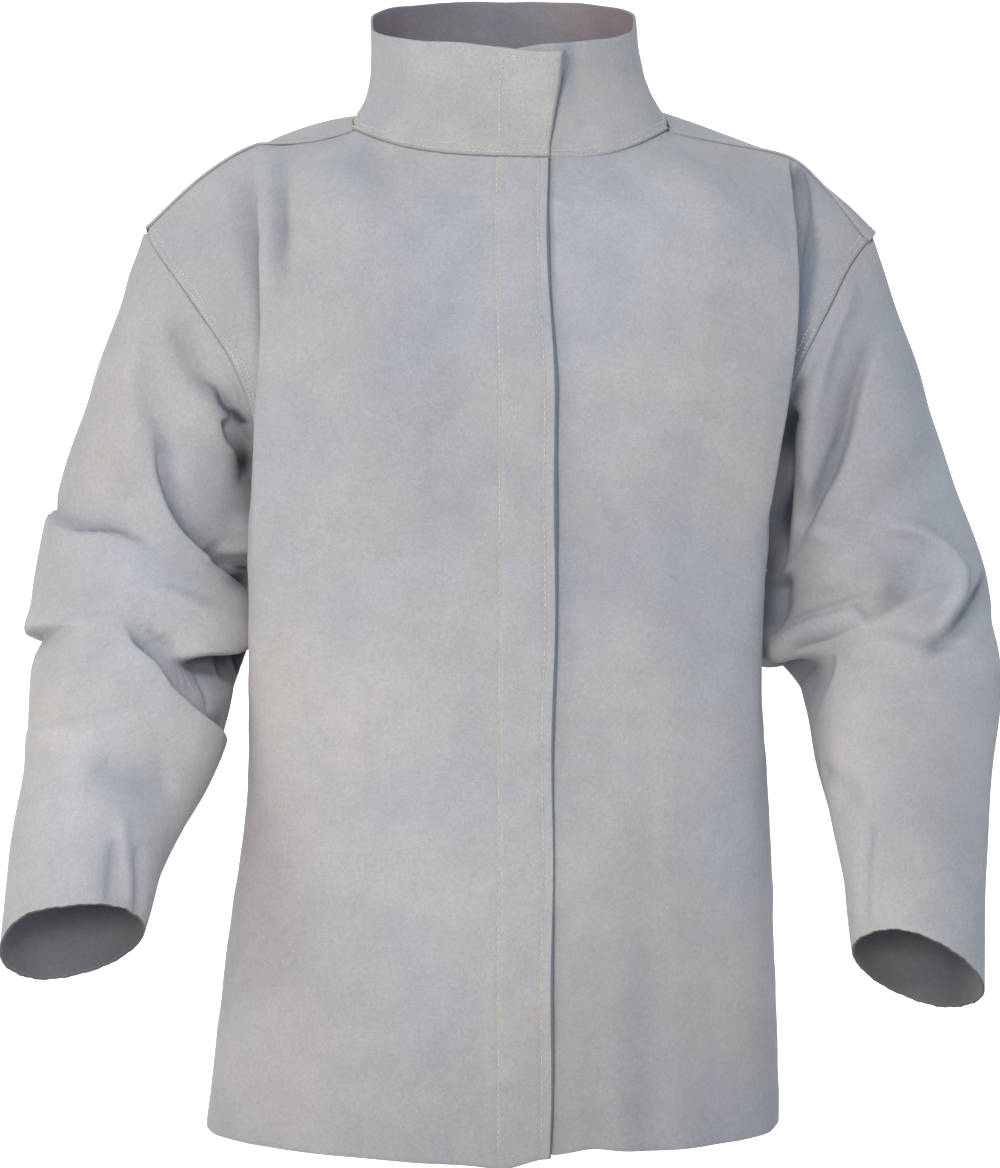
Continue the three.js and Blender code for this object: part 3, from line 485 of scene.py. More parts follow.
COOL = (0.955, 0.98, 1.02)
WARM = (1.03, 0.99, 0.98)
DARK = (0.93, 0.93, 0.94)
PALE = (1.05, 1.05, 1.045)
# Colour of the painted shade in folds, creases and hollows, where shade falls
SOIL = (0.42, 0.47, 0.55)
# Colour of the painted highlight on the crests of folds
PAINTED_HIGHLIGHT = (1.07, 1.06, 1.06)
PATCHES = (
    Patch(-85, -215, 70, 60, COOL),
    Patch(-55, -235, 90, 80, DARK),
    Patch(-30, -130, 60, 45, COOL),
    Patch(-30, -330, 60, 50, PALE),
    Patch(-120, -420, 60, 90, PALE),
    Patch(-165, -500, 40, 60, WARM),
    Patch(-60, -520, 70, 90, PALE),
    Patch(-150, -610, 70, 80, WARM),
    # Painted shadow of the collar's outer end on the layer under it
    Patch(46, 42, 6, 26, (0.66, 0.74, 0.82)),
    Patch(70, -300, 60, 50, DARK),
    Patch(110, -330, 80, 50, COOL),
    Patch(80, -130, 60, 60, COOL),
    Patch(130, -150, 50, 60, WARM),
    Patch(150, -480, 35, 110, PALE),
    Patch(170, -460, 35, 80, COOL),
    Patch(80, -640, 80, 70, WARM),
    Patch(-290, -260, 30, 60, WARM),
    Patch(-300, -470, 40, 50, PALE),
    Patch(-270, -300, 30, 40, COOL),
    Patch(300, -260, 50, 90, COOL),
    Patch(330, -350, 30, 60, COOL),
    Patch(255, -320, 40, 40, WARM),
    Patch(278, -480, 42, 70, (0.92, 0.91, 0.92)),
    Patch(335, -520, 30, 90, COOL),
    Patch(250, -190, 20, 60, WARM),
    # Painted shade, darker towards the hem
    Patch(0, -745, 320, 95, (0.85, 0.85, 0.86)),
    Patch(88, -640, 34, 150, (0.89, 0.89, 0.90)),
    Patch(-110, -135, 100, 60, (0.93, 0.93, 0.95)),
    Patch(-30, 5, 42, 34, (0.92, 0.92, 0.92)),
    # Painted light on the sleeves
    Patch(-275, -450, 58, 150, (1.12, 1.11, 1.11)),
    Patch(342, -430, 34, 170, (1.11, 1.12, 1.12)),
    # Painted shade and light at given depths: painted shadow in the right armpit and in hollows of the
    # sleeves, painted light beside the armpit and on the left sleeve's outer edge
    Patch(-188, -244, 7.5, 18, (0.07, 0.075, 0.085), -33.0),
    Patch(-225, -262, 20, 35, (1.1, 1.1, 1.1), -40.0),
    Patch(326, -230, 20, 60, (1.2, 1.22, 1.24), -10.0),
    Patch(330, -570, 25, 40, (0.88, 0.89, 0.9), -120.0),
    Patch(215, -360, 25, 28, (0.85, 0.86, 0.88), -60.0),
    Patch(-192, -328, 10, 9, (0.3, 0.32, 0.36), -14.0),
    Patch(-215, -110, 40, 60, (0.92, 0.92, 0.94)),
    Patch(228, -78, 22, 45, (1.18, 1.14, 1.12)),
    Patch(238, -488, 24, 90, (1.19, 1.17, 1.16)),
    Patch(-222, -450, 25, 70, (1.13, 1.13, 1.15)),
    Patch(-195, -610, 20, 60, (1.08, 1.08, 1.08)),
    # Painted light inside the right cuff and painted shade inside the left one
    Patch(-300, -590, 50, 40, (1.2, 1.2, 1.22), -100.0, True),
    Patch(330, -620, 28, 40, (0.45, 0.45, 0.47), -100.0, True),
    Patch(-85, 60, 35, 50, (1.02, 0.86, 0.84), 40.0),
    Patch(80, 60, 30, 50, (1.0, 0.86, 0.86), 40.0),
    Patch(0, 70, 50, 50, (0.95, 1.02, 1.06), 75.0),
)


class Shader:
    """A material's node tree, built a node at a time."""

    def __init__(self, name: str) -> None:
        """Starts a material with a plain shader.

        Args:
            name: the material's name.
        """
        self.material = bpy.data.materials.new(name)
        self.material.use_nodes = True
        self.tree = self.material.node_tree
        self.surface = self.tree.nodes["Principled BSDF"]

    def put(self, socket: Socket, value: Value) -> None:
        """Links a node's output to a socket, or sets the socket to a plain value.

        Args:
            socket: the input to fill.
            value: an output socket, a number or a colour.
        """
        if isinstance(value, Socket):
            self.tree.links.new(value, socket)
        elif isinstance(value, tuple) and len(value) == 3 and socket.type == "RGBA":
            socket.default_value = (*value, 1.0)
        else:
            socket.default_value = value

    def set(self, name: str, value: Value) -> None:
        """Fills an input of the plain shader."""
        self.put(self.surface.inputs[name], value)

    def node(self, kind: str, inputs: dict[str | int, Value], **settings: str) -> bpy.types.Node:
        """Adds a node.

        Args:
            kind: the node's type.
            inputs: values or output sockets by input name or number.
            settings: the node's own properties.

        Returns:
            The node.
        """
        made = self.tree.nodes.new(kind)
        for name, value in settings.items():
            setattr(made, name, value)
        for name, value in inputs.items():
            self.put(made.inputs[name], value)
        return made

    def place(self) -> Socket:
        """Where a point of the surface is in the part's frame."""
        return self.node("ShaderNodeTexCoord", {}).outputs["Object"]

    def noise(self, place: Socket, scale: float, detail: float, roughness: float) -> Socket:
        """Cloudy noise from 0 to 1.

        Args:
            place: where it is read.
            scale: clouds per metre.
            detail: how many finer layers it has.
            roughness: how strong those are.

        Returns:
            The noise.
        """
        inputs = {"Vector": place, "Scale": scale, "Detail": detail, "Roughness": roughness}
        return self.node("ShaderNodeTexNoise", inputs, noise_dimensions="3D").outputs["Fac"]

    def spread(self, value: Socket, source: Pair, target: Pair) -> Socket:
        """Maps a value from one range to another.

        Args:
            value: the value.
            source: the range it is read in.
            target: the range it is given.

        Returns:
            The mapped value.
        """
        inputs = {
            "Value": value,
            "From Min": source[0],
            "From Max": source[1],
            "To Min": target[0],
            "To Max": target[1],
        }
        return self.node("ShaderNodeMapRange", inputs, interpolation_type="SMOOTHSTEP").outputs["Result"]

    def blend(self, share: Value, a: Value, b: Value, how: str = "MIX") -> Socket:
        """Mixes two colours.

        Args:
            share: how much of b.
            a: the first colour.
            b: the second colour.
            how: the way of mixing.

        Returns:
            The mixed colour.
        """
        made = self.node("ShaderNodeMix", {}, data_type="RGBA", blend_type=how)
        self.put(made.inputs["Factor"], share)
        self.put(made.inputs[6], a)
        self.put(made.inputs[7], b)
        return made.outputs[2]

    def relief(self, height: Socket, strength: float, distance: float) -> None:
        """Gives the surface a fine relief.

        Args:
            height: its height from 0 to 1.
            strength: how much of it shows.
            distance: its depth in metres.
        """
        inputs = {"Height": height, "Strength": strength, "Distance": distance}
        normal = self.node("ShaderNodeBump", inputs).outputs["Normal"]
        self.set("Normal", normal)


@dataclass(frozen=True)
class SuedeFinish:
    """Split leather with a short nap, clouded by tanning and wear."""

    name: str
    base: Triple
    cool: Triple
    warm: Triple
    cloud: float = 8.0
    blotch: float = 34.0
    grain: float = 300.0
    nap: float = 1100.0
    blotch_shades: Pair = (0.955, 1.035)
    grain_shades: Pair = (0.95, 1.04)
    nap_shades: Pair = (0.91, 1.08)
    evenness: float = 0.45
    gloss: float = 0.22
    sheen: float = 0.12
    sheen_roughness: float = 0.55
    roughness: Pair = (0.97, 0.88)
    relief: float = 0.32
    depth: float = 0.00055

    def material(self) -> Material:
        """The finish as a material.

        Returns:
            The material, which the stored stains and painted shade and light of a piece tint.
        """
        shader = Shader(self.name)
        place = shader.place()
        clouds = shader.spread(shader.noise(place, self.cloud, 3.0, 0.55), (0.36, 0.64), (0.0, 1.0))
        colour = shader.blend(clouds, self.cool, self.warm)
        colour = shader.blend(self.evenness, colour, self.base)
        blotches = shader.spread(shader.noise(place, self.blotch, 4.0, 0.62), (0.3, 0.72), self.blotch_shades)
        colour = shader.blend(1.0, colour, blotches, "MULTIPLY")
        grain = shader.noise(place, self.grain, 3.0, 0.7)
        nap = shader.noise(place, self.nap, 2.0, 0.6)
        specks = shader.spread(grain, (0.3, 0.7), self.grain_shades)
        colour = shader.blend(1.0, colour, specks, "MULTIPLY")
        hairs = shader.spread(nap, (0.28, 0.72), self.nap_shades)
        colour = shader.blend(1.0, colour, hairs, "MULTIPLY")
        # Stored tints: stains and uneven tone, painted shade in hollows and painted light on crests
        cast = shader.node("ShaderNodeAttribute", {}, attribute_name="cast").outputs["Color"]
        colour = shader.blend(1.0, colour, cast, "MULTIPLY")
        shader.set("Base Color", colour)
        rough = shader.spread(blotches, self.blotch_shades, self.roughness)
        shader.set("Roughness", rough)
        shader.set("Specular IOR Level", self.gloss)
        shader.set("Sheen Weight", self.sheen)
        shader.set("Sheen Roughness", self.sheen_roughness)
        height = shader.node("ShaderNodeMath", {0: grain, 1: nap}, operation="ADD").outputs["Value"]
        shader.relief(height, self.relief, self.depth)
        return shader.material


@dataclass(frozen=True)
class ThreadFinish:
    """Twisted sewing thread."""

    name: str
    colour: Triple

    def material(self) -> Material:
        """The finish as a material.

        Returns:
            The material.
        """
        shader = Shader(self.name)
        place = shader.place()
        fibre = shader.noise(place, 1500.0, 2.0, 0.6)
        soil = shader.spread(shader.noise(place, 60.0, 2.0, 0.5), (0.3, 0.7), (0.82, 1.08))
        colour = shader.blend(1.0, self.colour, soil, "MULTIPLY")
        shade = shader.spread(fibre, (0.3, 0.7), (0.85, 1.08))
        shader.set("Base Color", shader.blend(1.0, colour, shade, "MULTIPLY"))
        shader.set("Roughness", 0.62)
        shader.set("Sheen Weight", 0.2)
        shader.relief(fibre, 0.5, 0.0003)
        return shader.material


@dataclass(frozen=True)
class TapeFinish:
    """Woven closing tape."""

    name: str
    colour: Triple
    yarn: float = 900.0

    def material(self) -> Material:
        """The finish as a material.

        Returns:
            The material.
        """
        shader = Shader(self.name)
        place = shader.place()
        weft = {"Vector": place, "Scale": self.yarn, "Distortion": 0.4}
        across = shader.node("ShaderNodeTexWave", weft, bands_direction="Z").outputs["Fac"]
        along = shader.node("ShaderNodeTexWave", weft, bands_direction="X").outputs["Fac"]
        weave = shader.node("ShaderNodeMath", {0: across, 1: along}, operation="MULTIPLY").outputs["Value"]
        shade = shader.spread(weave, (0.0, 1.0), (0.78, 1.1))
        shader.set("Base Color", shader.blend(1.0, self.colour, shade, "MULTIPLY"))
        shader.set("Roughness", 0.85)
        shader.relief(weave, 0.4, 0.0003)
        return shader.material


@dataclass(frozen=True)
class BackdropFinish:
    """Matt white studio paper that glows, so that it shows white."""

    name: str
    colour: Triple
    glow: float

    def material(self) -> Material:
        """The finish as a material.

        Returns:
            The material.
        """
        shader = Shader(self.name)
        fibre = shader.spread(shader.noise(shader.place(), 3.0, 2.0, 0.5), (0.3, 0.7), (0.99, 1.0))
        shader.set("Base Color", shader.blend(1.0, self.colour, fibre, "MULTIPLY"))
        shader.set("Roughness", 0.95)
        shader.set("Emission Color", self.colour)
        shader.set("Emission Strength", self.glow)
        return shader.material


# The base, cool and warm shade of each leather
OUTSIDE = SuedeFinish("leather_outside", (0.44, 0.44, 0.455), (0.40, 0.42, 0.465), (0.475, 0.455, 0.455))
# The inside is darker than the outside: painted shade inside the jacket
INSIDE = SuedeFinish("leather_inside", (0.25, 0.24, 0.265), (0.225, 0.235, 0.27), (0.28, 0.25, 0.265))
EDGE = SuedeFinish("leather_cut_edge", (0.42, 0.415, 0.415), (0.40, 0.40, 0.41), (0.44, 0.42, 0.40))
DARK_EDGE = SuedeFinish("leather_dark_edge", (0.15, 0.13, 0.125), (0.13, 0.125, 0.13), (0.18, 0.13, 0.10))
# The fly's cut edge is dark blue-grey: partly the edge's own colour, partly painted shadow under the fly's
# edge
FLY_EDGE = SuedeFinish("leather_fly_edge", (0.19, 0.225, 0.26), (0.18, 0.22, 0.26), (0.21, 0.235, 0.26))
# The collar's and the fronts' cut edges are darker than the leather: partly their own colour, partly painted
# shade along the edges, most at the collar's outer end
COLLAR_EDGE = SuedeFinish(
    "leather_collar_edge", (0.34, 0.355, 0.38), (0.33, 0.355, 0.385), (0.36, 0.36, 0.375)
)
TAPE = TapeFinish("closing_tape", (0.26, 0.26, 0.29))
YELLOW_THREAD = ThreadFinish("yellow_thread", (0.68, 0.63, 0.42))
PALE_THREAD = ThreadFinish("pale_thread", (0.64, 0.63, 0.56))


@dataclass(frozen=True)
class Finishes:
    """Every material of the jacket, made once."""

    outside: Material = field(default_factory=OUTSIDE.material)
    inside: Material = field(default_factory=INSIDE.material)
    cut: Material = field(default_factory=EDGE.material)
    dark_cut: Material = field(default_factory=DARK_EDGE.material)
    fly_cut: Material = field(default_factory=FLY_EDGE.material)
    collar_cut: Material = field(default_factory=COLLAR_EDGE.material)
    tape: Material = field(default_factory=TAPE.material)
    yellow_thread: Material = field(default_factory=YELLOW_THREAD.material)
    pale_thread: Material = field(default_factory=PALE_THREAD.material)


@dataclass
class Cloth:
    """A sheet of leather as a grid of points on its outside.

    hand is 1 where columns turned towards rows point out of the jacket, and -1 where they point in. closed
    joins the last column to the first. soil is the painted shade at each point, from 0 up to
    SHADE_LIMIT, and below 0 the painted highlight on fold crests.
    """

    points: Array
    hand: int
    closed: bool = False
    soil: Array | None = None

    def slopes(self) -> tuple[Array, Array]:
        """Steps between neighbouring points.

        Returns:
            The steps along the rows and along the columns.
        """
        down = np.gradient(self.points, axis=0)
        if self.closed:
            across = (np.roll(self.points, -1, axis=1) - np.roll(self.points, 1, axis=1)) / 2
        else:
            across = np.gradient(self.points, axis=1)
        return across, down

    def normals(self) -> Array:
        """Outward normals."""
        across, down = self.slopes()
        return unit(np.cross(across, down)) * self.hand

    def lift(self, height: Array) -> None:
        """Moves the leather out by a height at each point."""
        self.points = self.points + self.normals() * height[..., None]

    def run_across(self) -> Array:
        """Distance along each row from its first column."""
        steps = np.linalg.norm(np.diff(self.points, axis=1), axis=-1)
        return np.concatenate([np.zeros((len(steps), 1)), np.cumsum(steps, axis=1)], axis=1)

    def run_down(self) -> Array:
        """Distance along each column from its first row."""
        steps = np.linalg.norm(np.diff(self.points, axis=0), axis=-1)
        return np.concatenate([np.zeros((1, steps.shape[1])), np.cumsum(steps, axis=0)])

    def line(self, distance: Array, value: float, by_row: bool, kept: Array | slice = slice(None)) -> Line:
        """A line on the leather at a given distance.

        Args:
            distance: grows along each row, or along each column.
            value: the distance of the line.
            by_row: whether each row, and not each column, holds one point of it.
            kept: which of those points it keeps.

        Returns:
            The line's points and normals.
        """
        points, normals = self.points, self.normals()
        if not by_row:
            points, normals, distance = points.swapaxes(0, 1), normals.swapaxes(0, 1), distance.T
        count = points.shape[1]
        found = np.array([np.interp(value, row, np.arange(count)) for row in distance])
        low = np.minimum(found.astype(int), count - 2)
        share = (found - low)[:, None]
        rows = np.arange(len(points))
        line = mix(points[rows, low], points[rows, low + 1], share)
        facing = unit(mix(normals[rows, low], normals[rows, low + 1], share))
        return line[kept], facing[kept]

    def rims(self) -> list[Array]:
        """The grid's edges.

        Returns:
            Closed loops of point numbers: one, or two where the grid is closed.
        """
        rows, columns = self.points.shape[:2]
        number = np.arange(rows * columns).reshape(rows, columns)
        if self.closed:
            return [number[0], number[-1][::-1]]
        return [np.concatenate([number[0, :-1], number[:-1, -1], number[-1, :0:-1], number[:0:-1, 0]])]

    def shell(
        self,
        name: str,
        wall: float,
        materials: list[Material],
        slant: Array | None = None,
        closing: int = 0,
    ) -> Piece:
        """A closed wall of leather with softly rounded edges.

        Args:
            name: the piece's name.
            wall: its thickness.
            materials: outside, inside and cut edge, and the closing edge where it differs.
            slant: how far the inside stands out past the outside, at each point of the grid.
            closing: the column that is the closing edge.

        Returns:
            The piece.
        """
        rows, columns = self.points.shape[:2]
        normals = self.normals().reshape(-1, 3)
        outer = self.points.reshape(-1, 3)
        count = len(outer)
        number = np.arange(count).reshape(rows, columns)
        wide = np.concatenate([number, number[:, :1]], axis=1) if self.closed else number
        a, b, c, d = wide[:-1, :-1], wide[:-1, 1:], wide[1:, 1:], wide[1:, :-1]
        top = np.stack([a, b, c, d], axis=-1).reshape(-1, 4)
        faces = [top, top[:, ::-1] + count]
        kinds = [np.full(len(top), kind.value) for kind in (Face.OUTSIDE, Face.INSIDE)]
        under = outer - normals * wall
        if slant is not None:
            under = under + slant.reshape(-1, 3)
        places = [outer, under]
        start = 2 * count
        for loop in self.rims():
            along = unit(np.roll(outer[loop], -1, axis=0) - np.roll(outer[loop], 1, axis=0))
            out = unit(np.cross(along, normals[loop])) * self.hand
            ahead = np.roll(np.arange(len(loop)), -1)
            layers = [loop]
            for depth in RIM_DEPTHS:
                places.append(mix(outer[loop], under[loop], depth) + out * RIM_ROUND)
                layers.append(start + np.arange(len(loop)))
                start += len(loop)
            layers.append(loop + count)
            on_edge = np.isin(loop, number[:, closing]) & np.isin(loop[ahead], number[:, closing])
            differs = on_edge & (len(materials) > Face.CLOSING.value)
            for upper, lower in zip(layers, layers[1:]):
                faces.append(np.stack([upper[ahead], upper, lower, lower[ahead]], axis=-1))
                kinds.append(np.where(differs, Face.CLOSING.value, Face.CUT.value))
        corners = np.concatenate(faces)
        if self.hand < 0:
            corners = corners[:, ::-1]
        points = np.concatenate(places)
        piece = mesh_piece(name, points, corners, materials, np.concatenate(kinds), self.soil, count)
        self.flatten(piece, rows, columns, len(top))
        return piece

    def flatten(self, piece: Piece, rows: int, columns: int, faces: int) -> None:
        """Lays the piece's faces out flat for its finish: outside, inside and edges side by side.

        Args:
            piece: the piece.
            rows: rows of the grid.
            columns: columns of the grid.
            faces: the number of faces of its outside.
        """
        spans = columns if self.closed else columns - 1
        i, j = np.divmod(np.arange(faces), spans)
        wide = float(np.median(self.run_across()[:, -1]))
        high = float(np.median(self.run_down()[-1]))
        size = max(FLAT_SPREAD * wide, FLAT_HEAD * high)
        corner_j = np.stack([j, j + 1, j + 1, j], axis=-1) / spans * wide / size
        corner_i = np.stack([i, i, i + 1, i + 1], axis=-1) / (rows - 1) * high / size
        top = np.stack([corner_j, corner_i], axis=-1)
        under = top[:, ::-1] + np.array([FLAT_SHIFT * wide / size, 0.0])
        rest = len(piece.data.polygons) - 2 * faces
        step = np.arange(rest) / max(rest, 1)
        strip = np.stack([step, step + 1 / max(rest, 1)], axis=-1)
        edge_u = np.stack([strip[:, 1], strip[:, 0], strip[:, 0], strip[:, 1]], axis=-1)
        edge_v = np.tile(np.repeat(FLAT_EDGES, 2), (rest, 1))
        layout = np.concatenate([top, under, np.stack([edge_u, edge_v], axis=-1)])
        if self.hand < 0:
            layout = layout[:, ::-1]
        layer = piece.data.uv_layers.new(name="OFBake")
        layer.uv.foreach_set("vector", layout.reshape(-1).astype(np.float32))


def put_in_scene(name: str, data: bpy.types.ID) -> Piece:
    """Puts a mesh, a lamp or a camera into the scene.

    Args:
        name: its name.
        data: the mesh, lamp or camera.

    Returns:
        The thing in the scene.
    """
    thing = bpy.data.objects.new(name, data)
    bpy.context.scene.collection.objects.link(thing)
    return thing


def mesh_piece(
    name: str,
    places: Array,
    corners: Array,
    materials: list[Material],
    kinds: Array,
    soil: Array | None = None,
    outer: int = 0,
) -> Piece:
    """A piece of the jacket from points and four-cornered faces.

    Args:
        name: its name.
        places: its points in millimetres.
        corners: four point numbers for each face.
        materials: its materials.
        kinds: the number of each face's material.
        soil: the painted shade and highlight of its first points, as in Cloth.
        outer: how many of its first points are on its outside, or 0 if it has no inside.

    Returns:
        The piece, riding on the part.
    """
    mesh = bpy.data.meshes.new(name)
    mesh.vertices.add(len(places))
    mesh.vertices.foreach_set("co", (places * MM).astype(np.float32).reshape(-1))
    mesh.loops.add(corners.size)
    mesh.loops.foreach_set("vertex_index", corners.reshape(-1).astype(np.int32))
    mesh.polygons.add(len(corners))
    mesh.polygons.foreach_set("loop_start", np.arange(0, corners.size, 4, dtype=np.int32))
    mesh.polygons.foreach_set("material_index", kinds.astype(np.int32))
    mesh.polygons.foreach_set("use_smooth", np.ones(len(corners), bool))
    for material in materials:
        mesh.materials.append(material)
    mesh.update(calc_edges=True)
    mesh.validate()
    piece = put_in_scene(name, mesh)
    tinting(piece, places, soil, outer or len(places))
    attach(piece, BODY)
    LOG.info("%s: %d points, %d faces", name, len(places), len(corners))
    return piece


def tinting(piece: Piece, places: Array, soil: Array | None, outer: int) -> None:
    """Stores the jacket's stains, uneven tone and painted shade and light on a piece's points, for the
    leather's finish.

    Args:
        piece: the piece.
        places: its points in millimetres.
        soil: the painted shade and highlight of its first points, as in Cloth.
        outer: how many of its first points are on its outside.
    """
    cast = np.ones((len(places), 3))
    # Painted shade in folds and hollows, and painted highlight on their crests
    if soil is not None:
        share = np.clip(soil.reshape(-1, 1), -1, SHADE_LIMIT)
        darkened = mix(1.0, np.array(SOIL), np.minimum(share, 1.0))
        darkened = darkened * (1 - SHADE_DARKENS * np.maximum(share - 1.0, 0.0))
        cast[: len(share)] = np.where(share > 0, darkened, mix(1.0, np.array(PAINTED_HIGHLIGHT), -share))
    x, y, z = places.T
    # The patches: stains and uneven tone, and painted shade and light
    for patch in PATCHES:
        near = bump(x - patch.x, patch.wide) * bump(z - patch.z, patch.high)
        deep = smooth(-y, *PATCH_FRONT) if patch.y is None else bump(y - patch.y, PATCH_DEPTH)
        if patch.inside:
            deep = deep * (np.arange(len(places)) >= outer)
        cast *= mix(1.0, np.array(patch.tint), (near * deep)[:, None])
    layer = piece.data.attributes.new("cast", "FLOAT_COLOR", "POINT")
    full = np.concatenate([cast, np.ones((len(places), 1))], axis=1)
    layer.data.foreach_set("color", full.reshape(-1).astype(np.float32))


def read_along(run: Array, values: Array, where: Array) -> Array:
    """Values of a line, such as its points, at distances along it."""
    return np.stack([np.interp(where, run, column) for column in values.T], axis=-1)


@dataclass(frozen=True)
class StitchRow:
    """A row of stitches along a line on the leather."""

    pitch: float = 4.3
    length: float = 3.0
    thick: float = 0.85
    sides: int = 6

    def stitches(self, line: Array, normals: Array) -> tuple[Array, Array]:
        """The points and faces of the stitches along a line.

        Args:
            line: points on the leather's outside.
            normals: the leather's normals there.

        Returns:
            Points and four-cornered faces.
        """
        run = run_along(line)
        at = np.arange(self.pitch * 0.5, run[-1] - self.pitch * 0.4, self.pitch)
        middle = read_along(run, line, at)
        up = unit(read_along(run, normals, at))
        nearby = 0.6
        along = unit(read_along(run, line, at + nearby) - read_along(run, line, at - nearby))
        side = np.cross(up, along)
        stations = np.array([-0.5, -0.46, -0.3, 0.0, 0.3, 0.46, 0.5])
        widths = np.array([0.12, 0.62, 0.95, 1.0, 0.95, 0.62, 0.12]) * self.thick / 2
        heights = np.array([-0.35, -0.1, 0.16, 0.24, 0.16, -0.1, -0.35])
        turns = np.arange(self.sides) * 2 * math.pi / self.sides
        x = np.repeat(stations * self.length, self.sides)
        y = np.outer(widths, np.cos(turns)).reshape(-1)
        z = (heights[:, None] + np.outer(widths, np.sin(turns)) * 0.8).reshape(-1)
        places = (
            middle[:, None]
            + x[None, :, None] * along[:, None]
            + y[None, :, None] * side[:, None]
            + z[None, :, None] * up[:, None]
        )
        ring = np.arange(self.sides)
        near = np.arange(len(stations) - 1)[:, None] * self.sides
        after = (ring + 1) % self.sides
        far = near + self.sides
        quads = np.stack([near + ring, near + after, far + after, far + ring], axis=-1)
        ends = np.array([[3, 2, 1, 0], [5, 4, 3, 0]])
        last = (len(stations) - 1) * self.sides
        caps = np.concatenate([ends, ends[:, ::-1] + last])
        one = np.concatenate([quads.reshape(-1, 4), caps])
        each = len(stations) * self.sides
        faces = one[None] + each * np.arange(len(at))[:, None, None]
        return places.reshape(-1, 3), faces.reshape(-1, 4)

    def build(self, name: str, lines: list[Line], thread: Material) -> Piece:
        """Sews several lines as one piece.

        Args:
            name: the piece's name.
            lines: points and normals of each line.
            thread: the thread's material.

        Returns:
            The piece.
        """
        places, faces, start = [], [], 0
        for line, normals in lines:
            points, corners = self.stitches(line, normals)
            places.append(points)
            faces.append(corners + start)
            start += len(points)
        corners = np.concatenate(faces)
        return mesh_piece(name, np.concatenate(places), corners, [thread], np.zeros(len(corners), int))


ARMHOLE_STITCH = StitchRow(3.1, 2.0, 1.0)


@dataclass(frozen=True)
class Groove:
    """The dent that a row of stitches draws into the leather."""

    depth: float = 0.45
    reach: float = 1.5

    def at(self, distance: Array) -> Array:
        """How far the leather is drawn in at a distance from the row."""
        return -self.depth * bump(distance, self.reach)


